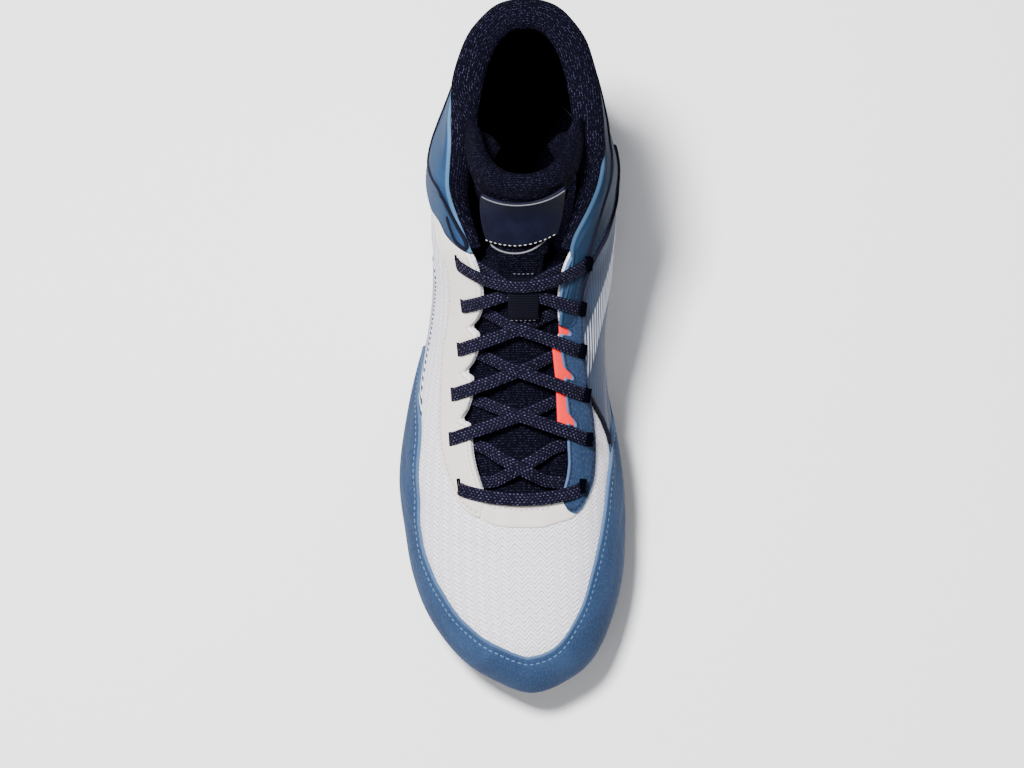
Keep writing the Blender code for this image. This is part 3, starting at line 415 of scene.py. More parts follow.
class Value:
    """An output in a finish's node tree. Arithmetic on it adds Math nodes."""

    def __init__(self, finish, out):
        self.finish, self.out = finish, out

    def math(self, operation, *others):
        return self.finish.node("ShaderNodeMath", (self, *others), operation=operation)

    def __add__(self, other):
        return self.math("ADD", other)

    def __sub__(self, other):
        return self.math("SUBTRACT", other)

    def __mul__(self, other):
        return self.math("MULTIPLY", other)

    def __truediv__(self, other):
        return self.math("DIVIDE", other)

    def __rsub__(self, other):
        return self.finish.node("ShaderNodeMath", (other, self), operation="SUBTRACT")

    def __abs__(self):
        return self.math("ABSOLUTE")

    __radd__, __rmul__ = __add__, __mul__

    def wave(self):
        """A triangle wave of period 1 that runs from 1 to 0 and back."""
        return abs(self.math("FRACT") * 2 - 1)

    def step(self, low, high):
        """Smooth step from 0 at low to 1 at high."""
        return self.finish.node("ShaderNodeMapRange", {"Value": self, "From Min": low, "From Max": high},
                                interpolation_type="SMOOTHSTEP")


def paint(colour):
    """Linear colour with alpha from an sRGB colour of 0 to 255, by the sRGB standard's curve."""
    c = np.array(colour) / 255
    return (*np.where(c < 0.04045, c / 12.92, ((c + 0.055) / 1.055)**2.4), 1.0)


class Finish:
    """A material: a Principled shader and the nodes that vary its colour, roughness and relief."""

    def __init__(self, name, colour, roughness, **sockets):
        self.material = bpy.data.materials.new(name)
        self.material.use_nodes = True
        self.tree = self.material.node_tree
        self.shader = self.tree.nodes["Principled BSDF"]
        self.shader.inputs["Base Color"].default_value = paint(colour)
        self.shader.inputs["Roughness"].default_value = roughness
        for key, value in sockets.items():
            self.shader.inputs[key.replace("_", " ")].default_value = value

    def node(self, kind, inputs=(), output=0, **settings):
        """Adds a node, sets it up, then gives its sockets values or links."""
        made = self.tree.nodes.new(kind)
        for key, value in settings.items():
            setattr(made, key, value)
        for key, value in (inputs.items() if isinstance(inputs, dict) else enumerate(inputs)):
            if isinstance(value, Value):
                self.tree.links.new(value.out, made.inputs[key])
            else:
                made.inputs[key].default_value = value
        return Value(self, made.outputs[output])

    def split(self, vector):
        """The parts of a vector."""
        return [self.node("ShaderNodeSeparateXYZ", (vector,), k) for k in range(3)]

    def object_place(self):
        """Object coordinates in millimetres."""
        place = self.node("ShaderNodeTexCoord", output=3)
        return self.node("ShaderNodeVectorMath", {0: place, 3: 1000.0}, operation="SCALE")

    def cloth(self):
        """The piece's own UV map, in millimetres across and along."""
        return self.split(self.node("ShaderNodeUVMap", uv_map="cloth"))[:2]

    def border(self):
        """Distance (mm) inside a plate's border, from its attribute."""
        return self.node("ShaderNodeAttribute", output=2, attribute_name="border")

    def vector(self, *parts):
        """A vector of its parts."""
        return self.node("ShaderNodeCombineXYZ", parts)

    def pebble(self, vector, size):
        """Rounded cells about size millimetres apart: 0 at their middles, rising to their edges."""
        return self.node("ShaderNodeTexVoronoi", {"Vector": vector, "Scale": 1 / size}, feature="F1")

    def noise(self, vector, size, detail=3.0, roughness=0.55):
        """Noise whose features are about size millimetres."""
        return self.node("ShaderNodeTexNoise", {"Vector": vector, "Scale": 1 / size, "Detail": detail,
                                                "Roughness": roughness})

    def mix(self, share, first, second):
        """Colour between two, each a colour of 0 to 255 or a colour in the tree."""
        ends = [value if isinstance(value, Value) else paint(value) for value in (first, second)]
        return self.node("ShaderNodeMix", {0: share, 6: ends[0], 7: ends[1]}, 2, data_type="RGBA")

    def lay(self, colour=None, roughness=None, relief=None, depth=0.1, strength=1.0):
        """Links colour, roughness and a relief (0 to 1, depth in mm) to the shader."""
        for key, value in (("Base Color", colour), ("Roughness", roughness)):
            if value is not None:
                self.tree.links.new(value.out, self.shader.inputs[key])
        if relief is not None:
            bump = self.node("ShaderNodeBump", {"Strength": strength, "Distance": depth * MM,
                                                "Height": relief})
            self.tree.links.new(bump.out, self.shader.inputs["Normal"])
        return self


def rubber_finish():
    """Moulded rubber: nearly black, satin, with a fine spark-eroded grain and patches of dust that are paler and
    rougher.
    """
    finish = Finish("outsole_rubber", (22, 23, 34), 0.5, Specular_IOR_Level=0.4)
    place = finish.object_place()
    grain = finish.noise(place, 0.7, 2.0)
    dust = finish.noise(place, 18.0, 4.0).step(0.45, 0.75)
    colour = finish.mix(dust * 0.35, (20, 21, 31), (58, 60, 70))
    return finish.lay(colour, 0.42 + 0.25 * dust + 0.08 * grain, grain, 0.12, 0.6)


# Tread: blocks, their scores, ribs, and the shares of the length that carry them
BLOCK_LENGTH, BLOCK_COLUMNS, SCORES, SCORE_DEPTH = 13.0, 5.0, 3, 0.45
RIB_PITCH, RIB_HEIGHT = 3.25, 0.18
TREAD_SHARES = ((0.56, 0.97), (0.03, 0.32))
# Rings of the cup's foot: offset, lift; and of its side: share of the rise, drop from there, offset
FOOT_RINGS = ((0.7, 0.0), (1.5, 0.25), (2.1, 0.9), (2.3, 1.6))
SIDE_RINGS = ((0.10, 0, 2.3), (0.38, 0, 2.3), (0.43, 0, 2.2), (0.46, 0, 1.75), (0.50, 0, 1.7), (0.54, 0, 1.95),
              (0.7, 0, 2.05), (1.0, 0.9, 2.0), (1.0, 0.35, 1.85), (1.0, 0.05, 1.4), (1.0, 0, 0.9), (1.0, 0.2, 0.5),
              (0.5, 0, 0.4))


def arch_rise(y):
    """Lift of the sole under the arch: a bell along the shoe."""
    return ARCH_LIFT * np.exp(-(((y - along(ARCH_AT)) / ARCH_REACH)**2))


def tread_height(y, share):
    """Height of the underside: arch and toe spring, blocks in a chequer that reach the ground, each
    scored by three fine grooves, and low ribs between the blocks."""
    back = HEEL_BACK - y
    row, column = back / BLOCK_LENGTH, np.broadcast_to(share, y.shape) * BLOCK_COLUMNS
    chequer = (np.floor(row) + np.floor(column)) % 2 == 1
    within = sum((back > first * SHOE_LENGTH) & (back < last * SHOE_LENGTH) for first, last in TREAD_SHARES) > 0
    edge = np.minimum(0.5 - np.abs(row % 1 - 0.5), 0.5 - np.abs(column % 1 - 0.5))
    block = ease((edge - 0.03) / 0.08) * chequer * within
    score = np.exp(-(((row % 1 * SCORES) % 1 - 0.5) / 0.10)**2)
    ribs = RIB_HEIGHT * np.cos(2 * math.pi * back / RIB_PITCH) * within * (1 - block)
    return LUG_DEPTH + arch_rise(y) + spring(y) + ribs - block * (LUG_DEPTH - SCORE_DEPTH * score)


def build_outsole():
    """Rings up the cup's side, each an offset of the feather edge or of the wall above it: rounded foot,
    lower band, groove, upper band, rounded lip, inner face and floor."""
    laps = ring_laps(220)
    rise = sidewall_rise(laps)
    feather = place_on_wall(laps, 0 * laps)
    rings = []
    for out, lift in FOOT_RINGS:
        ring = on_last(feather, CLEARANCE + out - 0.4 + 0 * laps)
        ring[:, 2] = LUG_DEPTH + arch_rise(ring[:, 1]) + spring(ring[:, 1]) + lift
        rings.append(ring)
    for share, drop, out in SIDE_RINGS:
        rings.append(on_last(wall_places(laps, (share * rise - drop)[:, None])[:, 0], out + 0 * laps))
    floor = on_last(feather, CLEARANCE + 0 * laps)
    floor[:, 2] = floor_height(floor[:, 1])
    points, faces = cup(rings + [floor], 64, tread_height)
    sole = shape("outsole_cup", points, faces, [rubber_finish()])
    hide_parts("outsole")


build_outsole()

# Insole. A loose foam bed faced with navy knit, cupped at the heel and laid on the floor of the cup.
INSOLE_THICKNESS, UPPER_WALL = 3.5, 2.2
NAVY, FLECK = (6, 6, 16), (80, 76, 110)
LOOP_WIDTH, LOOP_LENGTH = 1.45, 1.15
# Rings of the insole: inset, height
INSOLE_RINGS = ((0.8, 0.0), (0.1, 0.5), (0.0, 1.6), (0.25, INSOLE_THICKNESS - 0.4), (0.9, INSOLE_THICKNESS),
                (3.0, INSOLE_THICKNESS - 0.25), (7.0, INSOLE_THICKNESS - 0.9))


def knit_finish(name, light):
    """Spacer knit: rows of little loops, each a lit dash beside a dark hole, brightness drifting over
    patches. light is the share of the brightest dashes."""
    finish = Finish(name, NAVY, 0.9, Specular_IOR_Level=0.03)
    u, v = finish.cloth()
    row = (v / LOOP_LENGTH).math("FLOOR")
    shift = (row * 0.5).math("FRACT")
    cross, down = (u / LOOP_WIDTH + shift).wave(), (v / LOOP_LENGTH).wave()
    loop = cross.step(0.45, 0.85) * down.step(0.35, 0.8)
    speck = finish.noise(finish.vector(u, v, 0.0), 1.3, 2.0, 0.7).step(0.44, 0.62)
    drift = finish.noise(finish.vector(u, v, 3.0), 14.0, 3.0).step(0.3, 0.75)
    share = loop * speck * (light * 0.5 + light * 0.5 * drift)
    colour = finish.mix(share, NAVY, FLECK)
    return finish.lay(colour, 0.86 + 0.08 * speck, loop * 0.7 + 0.3 * speck, 0.45, 0.9)


def build_insole():
    """Outline inside the upper, with a rim that rises towards it and rounds over."""
    laps = ring_laps(140)
    inside = place_on_wall(laps, 0 * laps)
    rings = []
    for inset, lift in INSOLE_RINGS:
        ring = on_last(inside, -(UPPER_WALL + 2 * CLEARANCE + 0.2 + inset) + 0 * laps)
        ring[:, 2] = floor_height(ring[:, 1]) + CLEARANCE + lift
        rings.append(ring)
    points, faces = cup(rings, 24)
    bed = shape("insole_bed", points, faces, [knit_finish("insole_knit", light=0.5)], uv=points[:, :2])
    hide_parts("insole")


build_insole()

# Upper. One hollow wall of white engineered mesh over a dark lining, closed round the last, its edge
# turned in at collar and throat. The mesh shows a fine herringbone, and wear has set soft creases in it.
EYELET_STATIONS = np.array((5.50, 6.37, 7.15, 7.92, 8.83, 9.93))
EYELET_INSET, EYELET_WIDTH, EYELET_SLIT, THROAT_STOP = 10.0, 6.2, 1.9, 5.0
THROAT_WAYS = np.linspace(0.4, 0.86, 400)
EYELET_WAYS = np.interp(-EYELET_STATIONS, -between(THROAT_WAYS, TOP_LINE[0], TOP_LINE[1]), THROAT_WAYS)
# Slots: how far the cutter reaches below and above the wall
SLOT_REACH = (-4.4, 4.6)
# Depth of the throat's edge between two eyelets: share of the way on, lateral, medial
NOTCH = np.array(((0.0, 0.5, 0.2), (0.12, 0.9, 0.4), (0.28, 2.8, 0.7), (0.34, 5.2, 0.9), (0.38, 6.3, 1.2),
                  (0.42, 6.0, 5.0), (0.48, 4.8, 5.9), (0.56, 2.6, 5.4), (0.60, 1.6, 1.2), (0.66, 1.0, 0.3),
                  (1.0, 0.5, 0.2))).T
# Depth of the medial throat edge towards the toe, where only the blue eyestay borders it: way, mm down
THROAT_MEDIAL = np.array(((0.655, 0.0), (0.684, 1.1), (0.70, 2.5), (0.72, 3.3), (0.748, 3.5), (0.762, 4.0),
                          (0.772, 4.2), (0.782, 3.4), (0.792, 1.8), (0.802, 0.6), (0.815, 0.0))).T
# Ways between which the lining stays below the medial throat's edge, so that the edge is white
BARE_EDGE = (0.655, 0.80)


def scallop(lap):
    """Depth of the throat's edge: between the second and fifth eyelets it recedes slowly towards the
    toe, drops into a hooked notch and comes back, as its table says."""
    lap = wrapped(lap)
    way = np.abs(lap)
    phase = np.interp(way, EYELET_WAYS[::-1], np.arange(6)) % 1.0
    inside = ease((way - EYELET_WAYS[4]) / 0.006) * ease((EYELET_WAYS[1] - way) / 0.006)
    return inside * np.where(lap < 0, np.interp(phase, NOTCH[0], NOTCH[1]), np.interp(phase, NOTCH[0], NOTCH[2]))


def throat_drop(lap):
    """Depth of the throat's edge below the top line on both sides."""
    lap = wrapped(lap)
    return scallop(lap) + np.where(lap > 0, np.interp(lap, *THROAT_MEDIAL, 0, 0), 0)


def cloth_lengths(place):
    """Lengths (mm) at a place: across, from the ridge down the section, and along, from the toe tip at
    the same angle, both summed over a table and read back between its rows."""
    per_station, turns = 8, 144
    station = np.linspace(0, 16, 16 * per_station + 1)
    angle = np.linspace(-math.pi, math.pi, turns + 1)
    points = last_point(station[:, None] + 0 * angle, angle + 0 * station[:, None])
    across, down = path_lengths(points, 1), path_lengths(points)
    across -= across[:, turns // 2, None]
    s = np.clip(np.hypot(place[..., 0], place[..., 1]) * per_station, 0, len(station) - 1.001)
    a = np.clip((np.arctan2(place[..., 1], place[..., 0]) + math.pi) / (2 * math.pi) * turns, 0, turns - 0.001)
    i, j = s.astype(int), a.astype(int)
    s, a = s - i, a - j
    return np.stack([(t[i, j] * (1 - a) + t[i, j + 1] * a) * (1 - s) + (t[i + 1, j] * (1 - a)
                     + t[i + 1, j + 1] * a) * s for t in (across, down)], -1)


def mesh_finish():
    """White mesh: columns of slanted threads that turn over at each column, so that they run in zigzags,
    with small open pores, and greyer where it has been handled."""
    finish = Finish("upper_mesh", (236, 234, 242), 0.85, Specular_IOR_Level=0.25)
    u, v = finish.cloth()
    turn = (u / 5.5).wave() * 2.9
    thread = ((v + turn) / 1.85).wave()
    fine = ((v + turn) / 0.75).wave().step(0.2, 0.9)
    gap = (1 - thread.step(0.05, 0.45)) * (0.45 + 0.55 * (u / 2.75).wave().step(0.1, 0.4))
    worn = finish.noise(finish.vector(u, v, 0.0), 26.0, 4.0).step(0.42, 0.8)
    colour = finish.mix(gap * 0.62, finish.mix(worn * 0.3, (240, 238, 246), (216, 214, 226)), (168, 168, 186))
    return finish.lay(colour, 0.8 + 0.1 * gap, 0.75 * thread.step(0.0, 0.5) + 0.25 * fine, 0.4, 0.9)


def eyelet_slots(name, side):
    """One mesh of the six slots of a side, boxes through the wall at the throat's inset. Their walls take
    the second finish of the piece they cut."""
    sides = np.array([[0, 1, 5, 4], [1, 2, 6, 5], [2, 3, 7, 6], [3, 0, 4, 7], [3, 2, 1, 0], [4, 5, 6, 7]])
    corners = []
    for row in range(6):
        middle, edge = (beside_edge(row, side, outside) for outside in (EYELET_INSET, 0.0))
        points = on_last(np.array([middle, edge, middle]), np.array([0, 0, 1.0]))
        across = unit(points[1] - points[0])
        up = points[2] - points[0]
        length = np.cross(up, across)
        corners += [points[0] + across * a * EYELET_SLIT / 2 + length * b * EYELET_WIDTH / 2 + up * w
                    for w in SLOT_REACH for a, b in ((-1, -1), (1, -1), (1, 1), (-1, 1))]
    mesh = bpy.data.meshes.new(name)
    faces = np.concatenate([sides + 8 * row for row in range(6)])
    mesh.from_pydata((np.array(corners) * MM).tolist(), [], faces.tolist())
    for _ in range(2):
        mesh.materials.append(None)
    mesh.polygons.foreach_set("material_index", np.ones(len(mesh.polygons), np.int32))
    outward(mesh)
    return linked(name, mesh)


def edge_angle(station):
    """Angle of the top line at a station."""
    return np.radians(np.interp(station, TOP_LINE[1][::-1], TOP_LINE[2][::-1]))


def beside_edge(row, side, outside):
    """Place beside an eyelet pair's point of the throat's edge, a length (mm) outside it."""
    step = 0.01
    station = np.interp(row, np.arange(6), EYELET_STATIONS)
    angle = edge_angle(station)
    pair = last_point(np.array([station, station]), side * np.array([angle, angle + step]))
    angle += step * outside / np.linalg.norm(pair[1] - pair[0])
    return flat_place(station, side * angle)


def cut_slots(piece, sides):
    """Cuts the eyelets' slots through a piece, and keeps the result as its mesh."""
    for side in sides:
        cutter = eyelet_slots("slots", side)
        cut = piece.modifiers.new("slots", "BOOLEAN")
        cut.operation, cut.object, cut.solver = "DIFFERENCE", cutter, "EXACT"
        bpy.context.view_layer.update()
        result = bpy.data.meshes.new_from_object(piece.evaluated_get(bpy.context.evaluated_depsgraph_get()))
        piece.modifiers.clear()
        piece.data = result
        bpy.data.objects.remove(cutter)


def build_upper():
    """Profile carried round the laps: up the outer face, a half circle over the edge, down the inner one
    and a half circle under the feather edge."""
    laps = ring_laps(230)
    top = top_length(laps) - throat_drop(laps) - 1.0
    share = np.linspace(0, 1, 76)
    turn = np.linspace(0, math.pi, 7)[1:-1]
    half, turn_in = UPPER_WALL / 2, 0.6
    outer = turn_in + (top[:, None] - 2 * turn_in) * share
    over = top[:, None] - turn_in + half * np.sin(turn)
    inner = turn_in + (top[:, None] - 2 * turn_in) * share[::-3]
    under = turn_in - 0.5 * np.sin(turn)[None] + 0 * top[:, None]
    up = np.concatenate([outer, over, inner, under], 1)
    offset = np.concatenate([0 * share, -half + half * np.cos(turn), 0 * share[::-3] - UPPER_WALL,
                             -half - half * np.cos(turn)])
    place = wall_places(laps, up)
    points = on_last(place, offset + 0 * up, creased=True)
    faces = grid_faces(len(laps), up.shape[1], True, True)
    row = np.tile(np.arange(up.shape[1]), len(laps))
    bare = np.repeat((laps > BARE_EDGE[0]) & (laps < BARE_EDGE[1]), up.shape[1])
    lining = (row >= len(share) + np.where(bare, -2, 3)) & (row < up.shape[1] - 2)
    upper = shape("upper_mesh_wall", points.reshape(-1, 3), [faces],
                  [mesh_finish(), knit_finish("upper_lining", light=0.5)],
                  uv=cloth_lengths(place).reshape(-1, 2), kinds=lining)
    cut_slots(upper, (-1, 1))
    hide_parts("upper")


build_upper()

# Overlays. Each is a plate cut from flat stock and laid on the wall: how deep a seam draws it in and over
# what reach, how far in from its border it swells, and how it leans in against the collar's roll.
SEAM_DIP, SEAM_REACH, SWELL_REACH = 0.3, 0.55, 9.0
LEAN, LEAN_FROM, LEAN_MOST, LEAN_WAY = 0.45, 0.2, 4, 0.42


def plate(name, laps, low, high, rows, finishes, base, wall, round_over=0.8, seams=(), bulge=0.0):
    """Flat piece lying on the wall, closed all round: a grid from a low to a high line (mm up the wall)
    at each lap. Its thickness falls to nothing over round_over mm of its border as a quarter circle,
    dips along seams (mm inside the border), and swells by bulge in its middle. Above the top line it
    leans in against the collar's roll. The border's distance is kept as the attribute border."""
    t = np.concatenate([[0, 0.004, 0.012], np.linspace(0.03, 0.97, rows - 6), [0.988, 0.996, 1]])
    laps = np.concatenate([laps[0] + (laps[-1] - laps[0]) * np.array([0, 0.0012, 0.004]), laps[1:-1],
                           laps[0] + (laps[-1] - laps[0]) * np.array([0.996, 0.9988, 1])])
    low, high = low(laps), high(laps)
    up = low[:, None] + (high - low)[:, None] * t
    ends = np.minimum(np.abs(laps - laps[0]), np.abs(laps - laps[-1])) * FEATHER_LENGTH
    border = np.minimum(np.minimum(up - low[:, None], high[:, None] - up), ends[:, None] + 0 * up)
    border = np.maximum(border, 0)
    full = np.sqrt(np.clip(1 - (1 - np.clip(border / round_over, 0, 1))**2, 0, 1))
    dip = sum(np.exp(-((border - seam) / SEAM_REACH)**2) for seam in seams)
    thick = wall * (0.08 + 0.92 * full) + bulge * ease(border / SWELL_REACH) - SEAM_DIP * dip
    above = np.clip(up - top_length(laps)[:, None] - LEAN_FROM, 0, LEAN_MOST)
    base = base - LEAN * above * (np.abs(laps) < LEAN_WAY)[:, None]
    place = wall_places(laps, up)
    outer = on_last(place, base + thick, creased=True)
    inner = on_last(place, base + 0 * up, creased=True)
    uv = np.stack([(laps * FEATHER_LENGTH)[:, None] + 0 * up, up], -1).reshape(-1, 2)
    made = sheet(name, outer, inner, finishes, uv)
    distance = made.data.attributes.new("border", "FLOAT", "POINT")
    distance.data.foreach_set("value", np.tile(border.reshape(-1), 2).astype(np.float32))
    return made


# Throat trim. A strip of coral synthetic glued under the medial edge of the throat. It shows as a
# bright line inside the eyestay and fills its hooked notches.
CORAL, CORAL_SHADE = (255, 44, 46), (232, 36, 40)


def trim_finish():
    """Coral synthetic: saturated, with a faint darker grain."""
    finish = Finish("coral_trim", CORAL, 0.6, Specular_IOR_Level=0.1)
    grain = finish.noise(finish.object_place(), 1.2, 3.0)
    return finish.lay(finish.mix(grain.step(0.35, 0.8) * 0.35, CORAL, CORAL_SHADE), 0.5 + 0.15 * grain, grain, 0.12)


def build_trim():
    """Grid from 7.5 mm below the throat's edge to 3.9 mm beyond it, cut back behind its first notch."""
    laps = np.linspace(EYELET_WAYS[1] - 0.003, 0.530, 150)
    trim = plate("throat_trim_strip", laps, lambda lap: top_length(lap) - 7.5,
                 lambda lap: top_length(lap) - 0.8 + 4.7 * ease((lap - 0.553) / 0.008),
                 16, [trim_finish()], -0.5, 0.8, 0.4)
    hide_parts("throat_trim")


build_trim()

# Side panels. A wedge of printed film on each side of the waist, under the eyestay and above the rand:
# dark blue with a band of fine pale slanted lines, welded flat to the mesh.
# Overlays' lines: way, the lower ones' upper edge (mm up), the upper ones' lower edge (mm down from the
# top line), each lateral, then medial
OVERLAY_LINES = np.array((
    (0.00, 50.0, 50.0, 20.0, 20.0), (0.12, 45.0, 45.0, 21.0, 21.0), (0.24, 35.0, 35.0, 23.0, 23.0),
    (0.34, 24.0, 24.0, 25.0, 25.0), (0.42, 21.0, 18.0, 24.5, 21.0), (0.50, 31.0, 21.0, 26.0, 22.0),
    (0.56, 40.0, 26.0, 25.5, 23.0), (0.62, 46.0, 39.0, 23.0, 23.6), (0.66, 42.5, 46.0, 20.0, 22.5),
    (0.70, 39.5, 50.0, 17.3, 19.3), (0.75, 42.7, 53.5, 14.2, 16.3), (0.80, 45.3, 53.0, 10.5, 12.3),
    (0.85, 45.0, 49.0, 9.6, 10.3), (0.90, 39.0, 39.8, 9.2, 9.7), (0.95, 31.8, 31.2, 8.8, 9.0),
    (1.00, 29.0, 29.0, 8.4, 8.4),
)).T
# Upper edges of the side panels: way, mm up from the low line
WEDGE_LATERAL = np.array(((0.36, 4.0), (0.375, 22.0), (0.39, 40.0), (0.41, 48.0), (0.43, 46.0), (0.46, 37.0),
                          (0.50, 23.0), (0.54, 11.0), (0.577, 4.0), (0.605, 0.6))).T
WEDGE_MEDIAL = np.array(((0.325, 4.0), (0.338, 40.0), (0.352, 78.0), (0.37, 92.0), (0.42, 90.0), (0.46, 79.0),
                         (0.50, 70.0), (0.54, 62.0), (0.58, 47.0), (0.598, 35.0), (0.604, 27.0), (0.612, 15.0),
                         (0.622, 6.0), (0.635, 0.6))).T
# Panels: name, side, upper edge, and the heights (mm up the wall) between which lines are printed
SIDE_PANELS = (("lateral", -1, WEDGE_LATERAL, 42.0, 90.0), ("medial", 1, WEDGE_MEDIAL, 70.0, 85.0))
PRINT_PITCH, PRINT_SLANT, PRINT_BEND, PRINT_BEND_LENGTH = 2.3, 0.55, 3.0, 22.0


def low_line(lap):
    """Length up the wall (mm) of the lower overlays' upper edge."""
    return by_side(lap, *OVERLAY_LINES[:3])


def high_line(lap):
    """Length up the wall (mm) of the upper overlays' lower edge."""
    return top_length(wrapped(lap)) - by_side(lap, OVERLAY_LINES[0], *OVERLAY_LINES[3:])


def lined_finish(name, low, high):
    """Dark blue film with fine pale slanted lines between two heights on the wall."""
    finish = Finish(name, (26, 38, 64), 0.6, Specular_IOR_Level=0.15)
    u, v = finish.cloth()
    bend = (u / PRINT_BEND_LENGTH).math("SINE") * PRINT_BEND
    line = ((v * 0.9 + u * PRINT_SLANT + bend) / PRINT_PITCH).wave().step(0.40, 0.62)
    group = v.step(low, low + 2.0) * (v * -1.0 + high).step(0.0, 2.0)
    grain = finish.noise(finish.vector(u, v, 0.0), 0.8, 2.0)
    return finish.lay(finish.mix(line * group, (34, 50, 78), (206, 210, 222)), 0.5 + 0.2 * grain, line, 0.12, 0.6)


def stitch_row(name, laps, up, lift, finish, pitch=2.7, long=2.0, thick=0.42):
    """Row of thread along a line of the wall (mm up at each lap), lifted off it."""
    centre = wall_path(laps, up, lift)
    stitched(name, centre, wall_path(laps, up, lift + 1.0) - centre, finish, pitch, long, thick)


def stitched(name, centre, above, finish, pitch, long, thick):
    """Stitches spaced evenly by length along a path with its outward directions: each is a capsule of six
    rings of six points, whose middle stands proud and whose ends sink into the cloth."""
    length = path_lengths(centre)
    at = np.arange(0.5 * pitch, length[-1] - 0.3 * pitch, pitch)

    def read(values, shift=0.0):
        return np.stack([np.interp(at + shift, length, values[:, k]) for k in range(3)], 1)

    middle, tangent = read(centre), unit(read(centre, long / 2) - read(centre, -long / 2))
    side = unit(np.cross(read(above), tangent))
    out = np.cross(tangent, side)
    t = np.array([-1, -0.8, -0.35, 0.35, 0.8, 1.0]) * long / 2
    girth = np.array([0.25, 0.8, 1.0, 1.0, 0.8, 0.25]) * thick
    sink = -0.55 * thick * (t / (long / 2))**4
    turn = np.linspace(0, 2 * math.pi, 7)[:-1]
    ring = (tangent[:, None, None] * t[:, None, None]
            + side[:, None, None] * (girth[:, None] * np.cos(turn))[..., None]
            + out[:, None, None] * (sink[:, None] + 0.8 * girth[:, None] * np.sin(turn))[..., None])
    points = (middle[:, None, None] + ring).reshape(-1, 3)
    caps = np.array([[0, 1, 2, 3], [0, 3, 4, 5], [33, 32, 31, 30], [35, 34, 33, 30]])
    one = np.concatenate([grid_faces(6, 6, round_rows=True)[:, ::-1], caps])
    faces = (one[None] + 36 * np.arange(len(at))[:, None, None]).reshape(-1, 4)
    shape(name, points, [faces], [finish])


def thread_finish(name, colour, shade):
    """Twisted sewing thread: slanted plies as a fine bump and slight colour change."""
    finish = Finish(name, colour, 0.6, Specular_IOR_Level=0.3)
    x, y, z = finish.split(finish.object_place())
    ply = ((x + y + z) / 0.5).wave()
    return finish.lay(finish.mix(ply * 0.6, shade, colour), 0.55 + 0.15 * ply, ply, 0.1)


def piping(name, points, radius, finish):
    """Round cord along a path of points: circles of ten points carried along it, tapering at its ends.
    They are turned by a direction that no cord here runs along."""
    tangent = unit(np.gradient(points, axis=0))
    side = unit(np.cross(tangent, [0.13, 0.21, 0.97]))
    out = np.cross(tangent, side)
    length = path_lengths(points)
    ends = np.minimum(length, length[-1] - length)
    girth = radius * np.sqrt(np.clip(1 - (1 - np.clip(ends / (2.2 * radius), 0, 1))**2, 0.02, 1))
    turn = np.linspace(0, 2 * math.pi, 11)[:-1]
    rings = points[:, None] + girth[:, None, None] * (side[:, None] * np.cos(turn)[:, None]
                                                      + out[:, None] * np.sin(turn)[:, None])
    tube(name, rings, finish, np.stack(np.broadcast_arrays(turn * radius, length[:, None]), -1))


def binding_finish():
    """Braided nylon binding, black-navy with slanted ribs."""
    finish = Finish("navy_binding", (12, 13, 25), 0.7, Specular_IOR_Level=0.06)
    u, v = finish.cloth()
    rib = (u * 0.8 + v).wave()
    return finish.lay(finish.mix(rib.step(0.3, 0.9) * 0.4, (10, 10, 20), (46, 44, 68)), 0.62 + 0.15 * rib, rib,
                      0.25)


pale_thread = thread_finish("pale_blue_thread", (104, 140, 182), (62, 92, 132))
dark_thread = thread_finish("navy_thread", (36, 42, 66), (20, 22, 38))
white_thread = thread_finish("white_thread", (226, 222, 220), (176, 172, 172))


def build_side_panels():
    """A wedge on each side, from under the rand to an upper line that sinks to a point at its toe end,
    where the medial one is bound in navy."""
    for name, side, table, low, high in SIDE_PANELS:
        lined = lined_finish(f"lined_panel_{name}", low, high)
        laps = side * np.linspace(table[0, 0], table[0, -1], 170)
        panel = plate(f"side_panel_{name}_film", laps, lambda lap: low_line(lap) - 3,
                      lambda lap, table=table: low_line(lap) + np.interp(np.abs(lap), *table),
                      56, [lined], 0.06, 0.45, 0.4)
        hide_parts(f"side_panel_{name}")
    line = np.linspace(0.588, 0.629, 90)
    up = low_line(line) + np.interp(line, *WEDGE_MEDIAL) - 0.4
    piping("side_panel_binding", wall_path(line, up, 0.55), 1.15, binding_finish())


build_side_panels()

# Toe rand and heel counter. Blue synthetic suede cut in one curve, stitched along its upper edge with
# pale thread and cemented under the cup's side below.
BLUE, BLUE_SHADE, BLUE_PALE = (42, 62, 94), (33, 51, 80), (88, 114, 148)
RAND_SEAM = 3.2


def suede_finish(name, colour, shade, pale, size=0.9, edge=0.5):
    """Synthetic suede: short nap that catches light in flecks of about size mm, brushed patches, and a
    pale worn line of strength edge where its cut edge turns."""
    finish = Finish(name, colour, 0.82, Specular_IOR_Level=0.15)
    u, v = finish.cloth()
    flat = finish.vector(u, v, 0.0)
    nap = finish.noise(flat, size, 3.0, 0.65)
    brushed = finish.noise(finish.vector(u * 0.5, v, 2.0), 16.0, 4.0)
    border = finish.border()
    worn = (1 - border.step(0.1, 1.1)) * edge
    body = finish.mix(brushed.step(0.35, 0.7), shade, colour)
    body = finish.mix(nap.step(0.45, 0.75) * 0.30, body, pale)
    return finish.lay(finish.mix(worn, body, pale), 0.72 + 0.2 * nap, nap, 0.16, 0.8)


